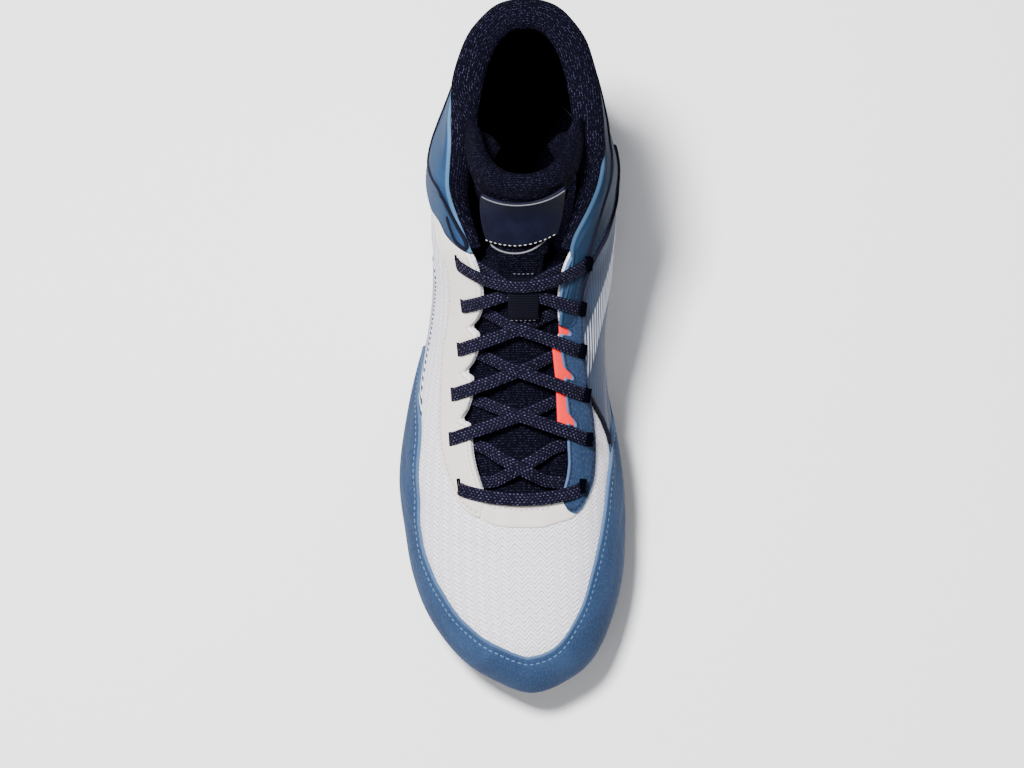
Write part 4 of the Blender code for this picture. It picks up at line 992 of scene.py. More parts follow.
def build_rand_and_counter():
    """Plates from just above the cup's side to the low line, with a seam inside the upper edge."""
    blue = suede_finish("blue_suede", BLUE, BLUE_SHADE, BLUE_PALE)
    for name, first, last, columns in (("toe_rand", -0.50, -1.48, 380), ("heel_counter", 0.32, -0.32, 230)):
        laps = np.linspace(first - 0.0025, last + 0.0025, columns)
        piece = plate(f"{name}_suede", laps, lambda lap: sidewall_rise(lap) - 0.6, low_line, 44, [blue], 0.05, 1.45,
                      0.9, seams=(RAND_SEAM,), bulge=0.25)
        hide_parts(name)
        line = np.linspace(laps[0] - 0.012, laps[-1] + 0.012, 400)
        stitch_row(f"{name}_stitches", line, low_line(line) - RAND_SEAM, 1.30, pale_thread)


build_rand_and_counter()

# Ankle panels. Blue film-faced panels under the collar's edge on both sides of the ankle, bound above by
# a turned edge, their borders painted pale all round as a highlight, and crossed by black piping that sweeps down to
# the eyestay.
# Lower edges: way, mm down from the top line
ANKLE_LATERAL = np.array(((0.0, 20.0), (0.12, 23.0), (0.18, 31.0), (0.24, 38.0), (0.30, 40.0), (0.332, 37.0),
                          (0.344, 31.0), (0.355, 19.3), (0.38, 11.8), (0.396, 5.2), (0.404, 1.2))).T
ANKLE_MEDIAL = np.array(((0.0, 20.0), (0.12, 21.0), (0.24, 23.0), (0.32, 24.5), (0.36, 21.0), (0.40, 14.0),
                         (0.44, 11.8), (0.54, 11.2))).T
# Upper edges by side, measured the same way
ANKLE_RISE = {-1: np.array(((0.0, 4.5), (0.14, 4.5), (0.18, 1.0), (0.21, -2.0), (0.26, -3.0), (0.36, -3.2),
                            (0.40, -1.5))).T,
              1: np.array(((0.0, 4.5), (0.20, 4.5), (0.26, -0.6), (0.30, -3.0), (0.34, -4.0), (0.37, -4.2),
                           (0.395, -2.2), (0.41, 0.4), (0.54, 0.4))).T}
# Cords of piping, by side: way, mm down
CORDS = (
    (-1, np.array(((0.004, 12.0), (0.06, 13.5), (0.12, 19.0), (0.18, 26.0), (0.24, 30.0), (0.264, 26.0),
                   (0.28, 16.5), (0.291, 9.3), (0.30, 3.0), (0.315, -0.2), (0.335, -1.8), (0.36, -2.5),
                   (0.385, -2.3), (0.398, -1.0))).T),
    (-1, np.array(((0.345, 1.0), (0.366, 3.2), (0.382, 3.9), (0.392, 2.4), (0.399, -0.4))).T),
    (1, np.array(((0.004, 12.0), (0.10, 13.5), (0.16, 15.0), (0.202, 16.5), (0.239, 12.2), (0.28, 7.0),
                  (0.32, 4.6), (0.35, 5.8), (0.3835, 7.9), (0.42, 8.7))).T),
    (1, np.array(((0.24, 23.2), (0.30, 24.6), (0.33, 24.2), (0.36, 21.4), (0.40, 14.9), (0.44, 12.6),
                  (0.492, 12.1))).T),
)
TAB_CORNER, ANKLE_SEAM = 8.0, 2.0


def film_finish(name, colour, shade, pale):
    """Coated microfibre: fine pebble, soft gloss, and a painted highlight along its border, where the colour goes
    pale as the edge turns.
    """
    finish = Finish(name, colour, 0.56, Specular_IOR_Level=0.04)
    u, v = finish.cloth()
    flat = finish.vector(u, v, 0.0)
    pebble = finish.pebble(flat, 0.85)
    cloud = finish.noise(flat, 22.0, 4.0)
    border = finish.border()
    # Painted highlight: the colour goes pale over about the last millimetre inside the border.
    worn = (1 - border.step(0.15, 1.0)) * 0.6
    colour = finish.mix(worn, finish.mix(cloud.step(0.35, 0.7), shade, colour), pale)
    return finish.lay(colour, 0.50 + 0.18 * cloud, pebble.step(0.1, 0.8), 0.09, 0.5)


def tip_share(way, last):
    """Share of the medial panel's width near its end, so that its corner is a quarter circle."""
    gap = (last - way) * FEATHER_LENGTH
    return np.sqrt(np.clip(1 - (1 - np.clip(gap / TAB_CORNER, 0, 1))**2, 0, 1))


def build_ankle_panels():
    """Plates from their lower edge to a line that keeps clear of the roll at the heel and laps over it
    beside the ankle, the medial one ending in a rounded tab beside the throat, and cords of piping."""
    # The medial panel takes the lateral one's colours darkened: painted shade for the side that faces away from the
    # key light.
    films = {-1: film_finish("blue_panel", (38, 66, 98), (30, 52, 82), (88, 126, 162)),
             1: film_finish("blue_panel_medial_painted_shade", (28, 46, 68), (22, 37, 56), (60, 88, 116))}
    binding = binding_finish()
    for name, side, last, table in (("lateral", -1, 0.405, ANKLE_LATERAL), ("medial", 1, 0.534, ANKLE_MEDIAL)):
        laps = side * np.linspace(0.0025, last, 260)

        def low(lap, table=table, side=side, last=last):
            down = between(np.abs(lap), *table)
            if side > 0:
                down = 0.6 + (down - 0.6) * tip_share(np.abs(lap), last)
            return top_length(lap) - down

        def high(lap, side=side):
            return top_length(lap) - between(np.abs(lap), *ANKLE_RISE[side])

        panel = plate(f"ankle_panel_{name}_film", laps, low, high, 38, [films[side]], 0.30, 1.35,
                      seams=(ANKLE_SEAM,), bulge=0.3)
        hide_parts(f"ankle_panel_{name}")
        line = side * np.linspace(0.006, last - 0.012, 300)
        stitch_row(f"ankle_stitches_{name}", line, low(line) + ANKLE_SEAM, 1.5, dark_thread)
    for number, (side, cord) in enumerate(CORDS):
        line = side * np.linspace(cord[0, 0], cord[0, -1], 240)
        up = top_length(line) - between(np.abs(line), *cord)
        lift = 1.75 - LEAN * np.clip(up - top_length(line), 0, None)
        piping(f"ankle_piping_{number + 1}", wall_path(line, up, lift), 0.9, binding)


build_ankle_panels()

# Eyestays and vamp bar. Cream leather on the lateral side and across the toe end of the throat, blue
# microfibre on the medial side, folded thin at the throat, punched for the laces and sewn twice.
# Outer edges of the lateral and the medial eyestay: way, mm down
STAY_LATERAL = np.array(((0.335, 30.0), (0.36, 24.0), (0.40, 22.5), (0.45, 25.0), (0.51, 27.5), (0.54, 28.6),
                         (0.5865, 26.2), (0.613, 23.5), (0.6284, 22.7), (0.6615, 20.0), (0.6934, 17.6),
                         (0.7271, 16.1), (0.7621, 13.3), (0.8146, 9.8))).T
STAY_MEDIAL = np.array(((0.37, 20.0), (0.414, 14.0), (0.477, 14.9), (0.5316, 16.1), (0.573, 17.9),
                        (0.607, 20.2), (0.6196, 21.3), (0.64, 21.7), (0.683, 21.0), (0.708, 19.3),
                        (0.729, 18.0), (0.7465, 16.3), (0.758, 13.9), (0.766, 11.4), (0.7715, 7.2))).T
LATERAL_SEAM, MEDIAL_SEAM, OVERLAP = 2.3, 1.9, 1.7


def leather_finish():
    """Smooth cream leather: fine pebble, faint yellowing and darker handled patches, pale cut edge."""
    finish = Finish("cream_leather", (222, 214, 208), 0.55, Specular_IOR_Level=0.4)
    u, v = finish.cloth()
    flat = finish.vector(u, v, 0.0)
    pebble = finish.pebble(flat, 0.8).step(0.05, 0.8)
    crease = finish.noise(finish.vector(u * 0.4, v, 1.0), 3.0, 5.0, 0.6)
    cloud = finish.noise(flat, 28.0, 4.0).step(0.35, 0.72)
    border = finish.border()
    colour = finish.mix(cloud, (216, 206, 198), (226, 220, 216))
    colour = finish.mix((1 - border.step(0.1, 0.9)) * 0.55, colour, (240, 238, 238))
    colour = finish.mix(crease.step(0.55, 0.8) * 0.22, colour, (186, 176, 170))
    return finish.lay(colour, 0.48 + 0.16 * cloud, pebble * 0.6 + crease * 0.6, 0.12, 0.6)


def build_eyestays():
    """Plates from their outer edge to the notched edge of the throat; the medial one ends in a rounded
    tip over the vamp bar, whose seam with the lateral one lies under the lace."""
    cream = leather_finish()
    blue = suede_finish("eyestay_blue", (36, 54, 84), (28, 44, 70), (86, 112, 150), size=1.1, edge=0.75)

    def throat(lap):
        return top_length(lap) - throat_drop(lap) - 0.5

    def bar_high(lap):
        return throat(lap) + OVERLAP * ease((lap - 0.86) / 0.10) * (1 - ease((lap - 1.06) / 0.10))

    bar = plate("vamp_bar_leather", np.linspace(1.208, 0.752, 170), high_line, bar_high, 26, [cream], 0.05, 0.9,
                0.7, bulge=0.12)
    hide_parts("vamp_bar")

    def lateral_low(lap):
        return top_length(lap) - between(np.abs(lap), *STAY_LATERAL)

    def lateral_high(lap):
        under = np.where(np.abs(lap) < 0.402, np.interp(np.abs(lap), *ANKLE_LATERAL) - 2.5, 0)
        return throat(lap) - np.clip(under, 0, None)

    def medial_low(lap):
        return top_length(lap) - np.interp(np.abs(lap), *STAY_MEDIAL)

    def medial_high(lap):
        return throat(lap) - OVERLAP * ease((lap - 0.763) / 0.0085)

    # Painted shade: the slots' walls are near black and without gloss, standing in for the shade inside the slots
    # where the laces end.
    shade = Finish("slot_wall_painted_shade", (3, 3, 8), 0.95, Specular_IOR_Level=0.0)
    shade.lay(shade.mix(shade.noise(shade.object_place(), 0.5, 2.0), (2, 2, 6), (6, 6, 14)))
    lateral = plate("eyestay_lateral_leather", np.linspace(-0.345, -0.805, 380), lateral_low, lateral_high, 44,
                    [cream, shade], 0.10, 1.45, seams=(LATERAL_SEAM,), bulge=0.15)
    cut_slots(lateral, (-1,))
    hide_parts("eyestay_lateral")
    medial = plate("eyestay_medial_suede", np.linspace(0.7715, 0.375, 380), medial_low, medial_high, 44,
                   [blue, shade], 0.12, 1.30, seams=(MEDIAL_SEAM,), bulge=0.15)
    cut_slots(medial, (1,))
    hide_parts("eyestay_medial")
    for name, outer_first, inner_first, last, low, high, finish in (
            ("lateral", -0.41, -0.41, -0.80, lateral_low, lateral_high, white_thread),
            ("medial", 0.40, 0.545, 0.762, medial_low, medial_high, dark_thread)):
        line = np.linspace(outer_first, last, 420)
        stitch_row(f"eyestay_{name}_outer_stitches", line, low(line) + 2.1, 1.45, finish, 2.3, 1.7, 0.36)
        line = np.linspace(inner_first, last, 420)
        stitch_row(f"eyestay_{name}_inner_stitches", line, high(line) - 1.9, 1.40, finish, 2.1, 1.5, 0.34)
    line = np.linspace(1.20, 0.80, 170)
    stitch_row("vamp_bar_inner_stitches", line, bar_high(line) - 1.9, 0.95, white_thread, 2.3, 1.7, 0.36)


build_eyestays()

# Collar padding. Foam covered in navy spacer knit, sewn inside the top line and rolled over its edge so
# that only the knit touches the ankle. It thins out where it runs into the throat.
COLLAR_THICKNESS, COLLAR_ROLL, COLLAR_END, COLLAR_DEPTH, COLLAR_BEAD = 7.0, 5.0, 0.40, 23.0, 1.9
# Height over the top line at which the roll begins, how far its foam bites the lining, its pucker, the
# ways at which the skirt over the heel ends (lateral, medial), and the cover's stretch round the ankle
COLLAR_SEAT, COLLAR_BITE, COLLAR_PUCKER, SKIRT_ENDS, COVER_STRETCH = 0.9, 0.5, 0.5, (0.145, 0.22), 0.62


def build_collar():
    """Profile of 36 points carried along the laps: up from the outside in a quarter ellipse, which hangs
    over the top line at the heel, over the edge in a half ellipse, and down inside the wall, swollen to
    the full thickness. The swell breathes a little along the collar, where its seam catches the cover."""
    laps = np.linspace(COLLAR_END - 0.0025, -COLLAR_END + 0.0025, 420)
    way = np.abs(laps)
    heel = 1 - ease((way - np.where(laps < 0, *SKIRT_ENDS)) / 0.06)
    full = COLLAR_THICKNESS * (0.28 + 0.72 * ease((COLLAR_END - way) / 0.11))
    top, inner = top_length(laps), -(UPPER_WALL + CLEARANCE + 0.2)
    place_mm = laps * FEATHER_LENGTH
    pucker = 0.30 * np.sin(place_mm / 4.1) * np.sin(place_mm / 17.0) + 0.16 * np.sin(place_mm / 2.3 + 1.0)
    outer = (inner + 2.4 + 2.6 * heel + COLLAR_PUCKER * pucker * heel)[:, None]
    back = inner + COLLAR_BITE - full[:, None] - COLLAR_BEAD
    skirt = np.linspace(-0.5, 0, 9)[:-1] * math.pi
    skirt_up = COLLAR_SEAT + (1.0 + 6.0 * heel)[:, None] * np.sin(skirt)
    start = (-0.9 + 1.3 * heel)[:, None]
    skirt_out = start + (outer - start) * np.cos(skirt)
    turn = np.linspace(0, 1.0, 16) * math.pi
    over_up = COLLAR_SEAT + (COLLAR_ROLL - COLLAR_SEAT + 0.6 * pucker)[:, None] * np.sin(turn)
    over_out = (outer + back) / 2 + (outer - back) / 2 * np.cos(turn)
    down = np.linspace(0.0, COLLAR_DEPTH, 12)[1:]
    swell = np.sqrt(np.clip(1 - (down / (COLLAR_DEPTH + 1))**2.4, 0, 1))
    inside_out = inner + COLLAR_BITE - full[:, None] * (1 - 0.9 * (1 - swell))
    inside_out = inside_out - COLLAR_BEAD * np.exp(-(down / 5.0)**2)
    inside_out = inside_out - COLLAR_PUCKER * pucker[:, None] * np.exp(-(down / 8.0)**2)
    column = 0 * over_up[:, :1]
    back_up, back_out = np.array([-20.0, -10.0, -2.0]) + column, np.full(3, inner) + column
    up = np.concatenate([skirt_up, over_up, COLLAR_SEAT - down + column, back_up], 1)
    out = np.concatenate([skirt_out, over_out, inside_out, back_out], 1)
    place = wall_places(laps, top[:, None] + up)
    points = on_last(place, out)
    count = up.shape[1]
    ends = [np.arange(count)[None], ((len(laps) - 1) * count + np.arange(count))[None, ::-1]]
    steps = path_lengths(points, 1)
    uv = np.stack([place_mm[:, None] * COVER_STRETCH + 0 * steps, steps], -1)
    pad = shape("collar_pad", points.reshape(-1, 3), [grid_faces(len(laps), count, round_rows=True)] + ends,
                [knit_finish("navy_spacer_knit", light=1.0)], uv=uv.reshape(-1, 2))
    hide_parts("collar_padding")


build_collar()

# Tongue. Padded spacer knit sewn in at the toe end of the throat, lying under its edges and curling at
# the top into a thick roll round the front of the ankle.
# Rows: station, half width in degrees, offset of its face, thickness
TONGUE_ROWS = np.array((
    (4.5, 18.0, -5.0, 3.0), (6.0, 36.0, -5.0, 4.5), (8.0, 38.0, -5.0, 4.5), (9.5, 38.0, -5.0, 4.5),
    (10.5, 44.0, -4.2, 4.8), (12.0, 62.0, -5.4, 6.0), (13.0, 78.0, -7.0, 7.5), (14.2, 94.0, -6.0, 9.0),
    (15.4, 98.0, -5.5, 9.0),
)).T
TONGUE_SIDE, TONGUE_CLEAR_ANGLE = -12.7, 31.0
# First station, the one where the top begins to round over, the stations that this takes, and how far the
# corners are drawn back; the channels' share of the half width, their depth, and the ripple's height
TONGUE_FIRST, TONGUE_LAST, TONGUE_TIP, TONGUE_CORNER = 4.55, 14.6, 0.77, 0.35
CHANNEL_AT, CHANNEL_DEPTH, RIPPLE = 0.52, 0.6, 0.18


def tongue_surface(station, angle):
    """Offset of the tongue's face: its middle line's, brought down beside the collar."""
    centre = between(station, TONGUE_ROWS[0], TONGUE_ROWS[2])
    edge = edge_angle(station)
    past = np.abs(angle) - (edge - np.minimum(math.radians(TONGUE_CLEAR_ANGLE), 0.45 * edge))
    return centre + (TONGUE_SIDE - centre) * ease(past / math.radians(9)) * ease((station - 9.2) / 0.9)


def build_tongue():
    """Two faces over a grid of stations and angles, rounded off at the sides and the top, dimpled where
    the cover is drawn in along two lengthwise channels."""
    tip = TONGUE_TIP * np.sin(np.linspace(0.05, 1, 16) * math.pi / 2)
    station = np.concatenate([np.linspace(TONGUE_FIRST, TONGUE_LAST, 150), TONGUE_LAST + tip])
    across = np.sin(np.linspace(-1, 1, 90) * math.pi / 2)
    half = np.radians(np.interp(station, TONGUE_ROWS[0], TONGUE_ROWS[1]))
    half = half * (1 - 0.28 * ease((station - 9.5) / 1.5) * (1 - ease((station - 13.9) / 0.7)))
    full = between(station, TONGUE_ROWS[0], TONGUE_ROWS[3])
    angle = half[:, None] * across
    outer = tongue_surface(station[:, None], angle)
    corner = TONGUE_CORNER * ease((np.abs(across) - 0.82) / 0.18) * ease((station[:, None] - 13.6) / 1.6)
    side = np.sqrt(np.clip(1 - (np.clip(np.abs(across) - 0.92, 0, 1) / 0.08)**2, 0.03, 1))
    thick = full[:, None] * side + 0 * angle
    low_side = ease((np.abs(angle) - math.radians(44)) / 0.35) * (1 - ease((station[:, None] - 14.0) / 0.7))
    thick = thick * (1 - 0.5 * low_side)
    middle = outer - thick / 2
    thick = thick * np.sqrt(np.clip(1 - (np.clip(station - TONGUE_LAST, 0, None) / 0.8)**2, 0.02, 1))[:, None]
    channel = np.exp(-((np.abs(across) - CHANNEL_AT) / 0.05)**2) * ease((station - 5.2) / 0.6)[:, None]
    channel = channel * (1 - ease((station - 9.6) / 1.2))[:, None]
    ripple = RIPPLE * np.sin(station[:, None] * 9.0 + 1.5 * np.sin(across * 5)) * np.cos(across * 1.3)
    place = flat_place(station[:, None] - corner, angle)
    face = on_last(place, middle + thick / 2 - CHANNEL_DEPTH * channel + ripple)
    back = on_last(place, middle - thick / 2)
    wide = path_lengths(face, 1)
    uv = np.stack([wide - wide[:, len(across) // 2, None], path_lengths(face)], -1).reshape(-1, 2)
    pad = sheet("tongue_pad", face, back, [knit_finish("tongue_knit", light=0.85)], uv, (0.0, 2.5))
    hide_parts("tongue")


build_tongue()

# Label. A bare patch of smooth navy film, sewn to the front of the tongue below its roll, with a fine
# cord along its upper edge and another that runs round the padding below it.
# Thickness, dome, height over the tongue, and the middle, half length and tilt in stations
LABEL_WALL, LABEL_DOME, LABEL_LIFT = 0.8, 0.5, 0.7
LABEL_AT, LABEL_REACH, LABEL_TILT = 12.6, 1.3, 0.22


def label_finish():
    """Smooth film: dark navy, soft gloss, very fine grain."""
    finish = Finish("label_film", (13, 14, 30), 0.6, Specular_IOR_Level=0.05)
    place = finish.object_place()
    grain, cloud = finish.noise(place, 0.6, 2.0), finish.noise(place, 9.0, 3.0)
    return finish.lay(finish.mix(cloud.step(0.35, 0.75), (11, 12, 27), (17, 18, 37)), 0.46 + 0.2 * grain, grain,
                      0.05)


def build_label():
    """Plate with rounded corners over a grid of the tongue's front, domed in the middle."""
    s, a = np.meshgrid(np.linspace(-1, 1, 60), np.linspace(-1, 1, 90), indexing="ij")
    corner = np.sqrt(np.clip(1 - np.abs(s)**8, 0.0, 1))**0.5
    station = LABEL_AT + LABEL_REACH * s + 0.20 * a**2 + LABEL_TILT * a
    wide = a * (0.94 + 0.06 * corner)
    angle = wide * np.radians(26 + 12 * (station - 11.3) / 2.6)
    inside = np.clip(np.minimum(1 - np.abs(s), (1 - np.abs(a)) * 1.4) / 0.10, 0, 1)
    round_off = np.sqrt(1 - (1 - inside)**2)
    base = tongue_surface(station, angle) + CLEARANCE + LABEL_LIFT
    place = flat_place(station, angle)
    face = on_last(place, base + 0.05 + (LABEL_WALL + LABEL_DOME) * round_off)
    back = on_last(place, base)
    label = sheet("tongue_label_film", face, back, [label_finish()])
    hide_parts("tongue_label")
    cord = Finish("grey_cord", (84, 86, 94), 0.5)
    cord.lay(cord.mix(cord.noise(cord.object_place(), 0.8, 2.0), (62, 64, 72), (108, 108, 116)))
    piping("label_cord", face[-3, 2:-2], 0.28, cord)
    above = unit(face[3, 3:-3] - back[3, 3:-3])
    stitched("label_stitches", face[3, 3:-3] + 0.05 * above, above, white_thread, 2.2, 1.2, 0.22)
    share = np.linspace(-0.92, 0.92, 90)
    station = 10.7 + 1.5 * share**2 + 0.5 * share
    angle = share * np.radians(34)
    piping("tongue_cord", on_last(flat_place(station, angle), tongue_surface(station, angle) + 0.35), 0.42, cord)


build_label()

# Keeper. A loop of webbing sewn across the tongue's middle that holds the laces down.
# Thickness, how far each face falls away at its sides, half width (mm), the same as an angle, and turn
KEEPER_WALL, KEEPER_EDGE, KEEPER_HALF, KEEPER_ANGLE, KEEPER_TURN = 1.0, 0.35, 7.5, np.radians(9.0), math.radians(2.0)
# Loop's height over the tongue: station, mm
KEEPER_RISE = np.array(((8.42, 0.7), (8.46, 0.7), (8.56, 3.4), (8.66, 6.3), (8.80, 6.6), (9.10, 6.6), (9.32, 6.3),
                        (9.42, 5.4), (9.48, 2.6), (9.54, 0.7), (9.60, 0.7))).T
pale_grey = thread_finish("grey_thread", (128, 126, 140), (80, 78, 94))


def webbing_finish():
    """Navy webbing: crosswise ribs 1.1 mm apart with fine slanted threads."""
    finish = Finish("navy_webbing", (9, 9, 19), 0.8, Specular_IOR_Level=0.05)
    u, v = finish.cloth()
    rib, ply = (v / 1.1).wave(), ((u + v) / 0.5).wave()
    return finish.lay(finish.mix(rib.step(0.5, 0.95) * 0.35, (7, 7, 15), (30, 30, 48)), 0.76 + 0.1 * ply,
                      0.7 * rib + 0.3 * ply, 0.3)


def build_keeper():
    """Strip that stands on the tongue at both ends and passes over the laces between, with thread across
    its feet."""
    station = np.linspace(KEEPER_RISE[0, 0], KEEPER_RISE[0, -1], 60)
    lift = np.interp(station, *KEEPER_RISE)
    lift = np.convolve(np.pad(lift, 2, mode="edge"), np.ones(5) / 5, "valid")
    across = np.linspace(-1, 1, 24)
    angle = across * KEEPER_ANGLE + KEEPER_TURN
    base = tongue_surface(station[:, None], 0 * station[:, None]) + lift[:, None] + 0 * angle
    place = flat_place(station[:, None], angle)
    swell = KEEPER_EDGE * np.sqrt(np.clip(1 - across**8, 0, 1))
    face = on_last(place, base + KEEPER_WALL - KEEPER_EDGE + swell)
    back = on_last(place, base + KEEPER_EDGE - swell)
    steps = path_lengths(face[:, len(across) // 2])
    uv = np.stack(np.broadcast_arrays(across * KEEPER_HALF, steps[:, None]), -1).reshape(-1, 2)
    loop = sheet("lace_keeper_loop", face, back, [webbing_finish()], uv)
    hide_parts("lace_keeper")
    angle = np.linspace(-1, 1, 30) * np.radians(8.4)
    for name, at, over in (("upper", 9.66, 0.4), ("lower", 8.60, 5.9)):
        station = np.full(30, at)
        line = flat_place(station, angle + KEEPER_TURN)
        lift = tongue_surface(station, angle) + over
        centre = on_last(line, lift)
        stitched(f"keeper_stitches_{name}", centre, on_last(line, lift + 1) - centre, pale_grey, 1.9, 1.1, 0.24)


build_keeper()

# Laces. One flat navy lace: a bar over the toe end of the throat, then down through its eyelets, across
# under one eyestay and up through the next eyelet, five times, to a bar over the top pair.
# Width, thickness, offset over the tongue, how much higher the second crossing lies, how deep the bars'
# ends dive, and how far outside the eyelets' line the laces rise
LACE_WIDTH, LACE_THICKNESS, LACE_OVER_TONGUE, LACE_STACK, LACE_DIVE, LACE_OUT = 5.7, 1.5, -0.8, 1.3, -2.6, 0.9
# Offset of the eyestays' faces, which the laces clear
STAY_FACE = 1.47


def lace_finish():
    """Flat braid: plies that slant both ways from the middle, each thread a lit fleck."""
    finish = Finish("lace_braid", (14, 13, 27), 0.9, Specular_IOR_Level=0.05)
    u, v = finish.cloth()
    ply = ((abs(u) * 0.9 + v) / 1.7).wave()
    strand = (u / 1.15).wave()
    speck = finish.noise(finish.vector(u, v, 0.0), 1.2, 2.0, 0.7).step(0.42, 0.62)
    share = ply.step(0.45, 0.85) * strand.step(0.3, 0.8) * speck * 0.9
    return finish.lay(finish.mix(share, (12, 11, 24), (92, 88, 124)), 0.82 + 0.1 * speck,
                      0.6 * ply + 0.4 * strand, 0.3)


def lace_piece(name, centre, above, finish, start):
    """Ribbon along a path of points with its outward directions, evened out: a flat rounded section of
    14 points every 0.9 mm. Its braid begins start mm along."""
    length = path_lengths(centre)
    at = np.linspace(0, length[-1], int(length[-1] / 0.9))
    centre, above = (np.stack([np.interp(at, length, v[:, k]) for k in range(3)], 1) for v in (centre, above))
    for _ in range(4):
        centre[1:-1] = 0.25 * (centre[:-2] + centre[2:]) + 0.5 * centre[1:-1]
        above[1:-1] = 0.25 * (above[:-2] + above[2:]) + 0.5 * above[1:-1]
    path = unit(np.gradient(centre, axis=0))
    wide = unit(np.cross(above, path))
    thick = np.cross(path, wide)
    turn = np.linspace(0, 2 * math.pi, 15)[:-1]
    aside = np.sign(np.cos(turn)) * np.abs(np.cos(turn))**0.45 * LACE_WIDTH / 2
    out = np.sign(np.sin(turn)) * np.abs(np.sin(turn))**0.8 * LACE_THICKNESS / 2
    rings = centre[:, None] + wide[:, None] * aside[:, None] + thick[:, None] * out[:, None]
    return tube(name, rings, finish, np.stack(np.broadcast_arrays(aside, start + at[:, None]), -1))


def across_throat(start, end, t):
    """Places from one to the other, their station and angle changing evenly."""
    (s0, s1), (a0, a1) = [np.hypot(*p) for p in (start, end)], [np.arctan2(p[1], p[0]) for p in (start, end)]
    return flat_place(s0 + (s1 - s0) * t, a0 + (a1 - a0) * t)


def lace_route(runs):
    """Points and outward directions of a lace along runs from place to place, each with a list of shares
    of its way and the offsets there."""
    centre, above = [], []
    for start, end, shares, offsets in runs:
        t = np.linspace(0, 1, 40)
        places = across_throat(start, end, t)
        offset = np.interp(t, shares, offsets)
        centre.append(on_last(places, offset))
        above.append(on_last(places, offset + 1.0) - centre[-1])
    return np.concatenate(centre), np.concatenate(above)


def build_laces():
    """Each crossing rises out of its eyelet, lies over the eyestay, sags to the tongue, passes under the
    other eyestay and stops below the next eyelet, where the next run rises."""
    finish = lace_finish()
    over = STAY_FACE + LACE_THICKNESS / 2 + 0.25
    under = -(UPPER_WALL + 0.45 + LACE_THICKNESS / 2)
    for row in range(5):
        for side in (-1, 1):
            high = LACE_OVER_TONGUE + (0.0 if side < 0 else LACE_STACK)
            end = beside_edge(row + 1, -side, EYELET_INSET + 0.4)
            brink = beside_edge(row + 0.72, -side, -THROAT_STOP)
            if row:
                hole = beside_edge(row, side, EYELET_INSET + LACE_OUT)
                crest = beside_edge(row, side, EYELET_INSET - 1.6)
                runs = [(hole, crest, (0, 0.05, 0.5, 1), (-3.0, -0.5, over, over)),
                        (crest, brink, (0, 0.16, 0.32, 0.52, 0.75, 1), (over, over, 1.0, high, high - 0.4, under))]
            else:
                hole = beside_edge(row, side, EYELET_INSET)
                first = beside_edge(row, side, -THROAT_STOP)
                runs = [(hole, first, (0, 1), (under, under)),
                        (first, brink, (0, 0.25, 0.75, 1), (under, high, high - 0.4, under))]
            runs.append((brink, end, (0, 0.7, 1), (under, under, under + 0.2)))
            centre, above = lace_route(runs)
            name = f"lace_run_{row + 1}_{'lateral' if side < 0 else 'medial'}"
            run = lace_piece(name, centre, above, finish, start=row * 37.0)
            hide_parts(f"lace_cross_{row + 1}")
    for name, row, sag, power in (("lace_bar_bottom", 0, -0.31, 0.6), ("lace_bar_top", 5, -0.38, 0.9)):
        t = np.linspace(0, 1, 120)
        ends = (beside_edge(row, side, EYELET_INSET + LACE_OUT) for side in (-1, 1))
        places = across_throat(*ends, t)
        places[:, 0] += sag * np.clip(np.sin(math.pi * t), 0, 1)**power
        dive = np.clip(np.minimum(t, 1 - t) / 0.035, 0, 1)
        offset = LACE_DIVE + (over - LACE_DIVE) * ease(dive) + 0.6 * np.sin(math.pi * t)
        centre = on_last(places, offset)
        bar = lace_piece(name + "_run", centre, on_last(places, offset + 1.0) - centre, finish, start=row * 20.0)
        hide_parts(name)


build_laces()

# Stage. A pale floor, soft studio light from the upper left and a camera at the photograph's angle,
# which looks down over the toe.
CAMERA_HEIGHT_ANGLE, CAMERA_DISTANCE, CAMERA_LENS = 76.0, 2.0, 158.2
CAMERA_ASIDE, SHOE_ASIDE, AIM_Y = 50.8, -7.9, -97.8
FLOOR_REACH, FLOOR_BELOW, SKY_STRENGTH = 6, 0.0004, 0.24
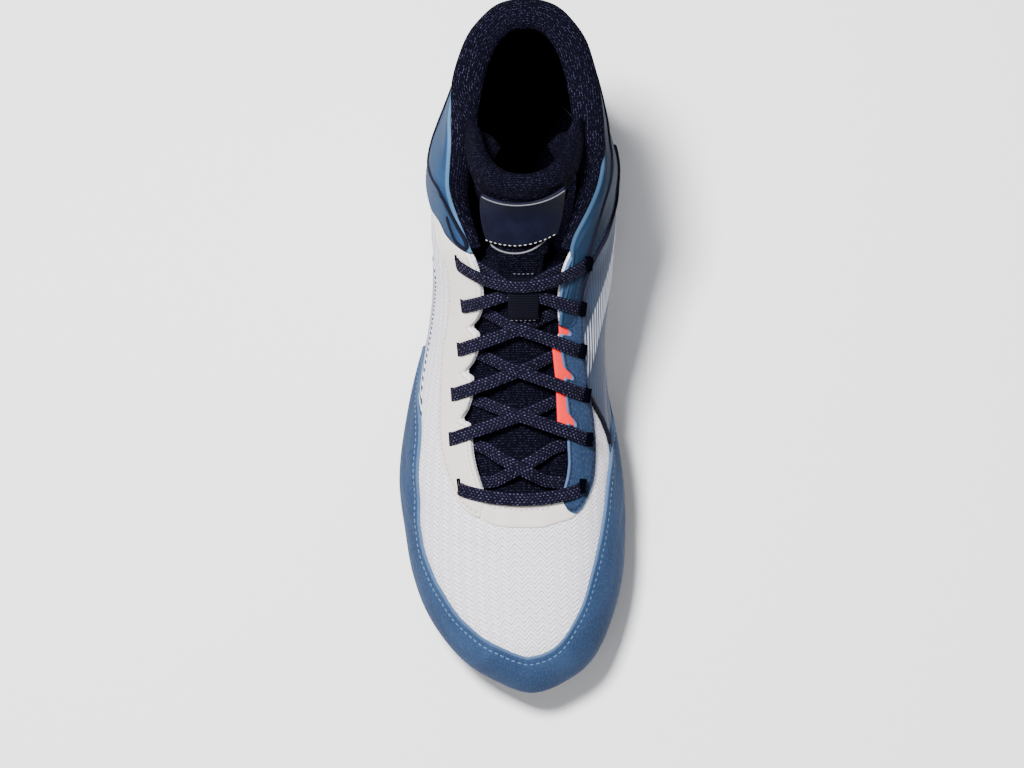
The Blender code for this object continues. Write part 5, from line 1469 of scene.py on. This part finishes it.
# Lamps: name, place (m), size (m), power (W)
LAMPS = (("key", (-0.34, 0.02, 1.55), 0.30, 69.0), ("fill", (-0.5, -1.3, 1.5), 1.2, 7.0))
LAMP_AIM = (0, -0.1, 0.05)


def build_stage():
    """Floor plane, world light, two area lights and the camera, its own right kept level with X."""
    finish = Finish("studio_floor", (246, 246, 248), 0.9, Emission_Color=(1.0, 1.0, 1.0, 1.0),
                    Emission_Strength=0.10)
    finish.lay(finish.mix(finish.noise(finish.object_place(), 400.0, 2.0) * 0.3, (247, 247, 249), (240, 240, 243)))
    mesh = bpy.data.meshes.new("floor")
    corners = [(x * FLOOR_REACH, y * FLOOR_REACH, -FLOOR_BELOW) for x, y in ((-1, -1), (1, -1), (1, 1), (-1, 1))]
    mesh.from_pydata(corners, [], [(0, 1, 2, 3)])
    mesh.materials.append(finish.material)
    floor = linked("floor", mesh)
    world = bpy.data.worlds.new("studio")
    bpy.context.scene.world = world
    world.use_nodes = True
    sky = world.node_tree.nodes["Background"]
    sky.inputs["Color"].default_value = (0.96, 0.98, 1.0, 1.0)
    sky.inputs["Strength"].default_value = SKY_STRENGTH
    for name, place, size, power in LAMPS:
        light = bpy.data.lights.new(name, "AREA")
        light.shape, light.size, light.energy = "SQUARE", size, power
        lamp = linked(name, light)
        lamp.location = place
        lamp.rotation_euler = (Vector(LAMP_AIM) - Vector(place)).to_track_quat("-Z", "Y").to_euler()
    lens = bpy.data.cameras.new("camera")
    lens.lens, lens.sensor_width, lens.clip_start, lens.clip_end = CAMERA_LENS, 36.0, 0.05, 30.0
    camera = linked("camera", lens)
    rise = math.radians(CAMERA_HEIGHT_ANGLE)
    eye = Vector((CAMERA_ASIDE * MM, AIM_Y * MM - CAMERA_DISTANCE * math.cos(rise),
                  CAMERA_DISTANCE * math.sin(rise)))
    back = (eye - Vector((SHOE_ASIDE * MM, AIM_Y * MM, 0))).normalized()
    right = Vector((0, math.sin(rise), math.cos(rise))).cross(back).normalized()
    up = back.cross(right)
    camera.matrix_world = Matrix((right, up, back)).transposed().to_4x4()
    camera.location = eye
    bpy.context.scene.camera = camera


build_stage()
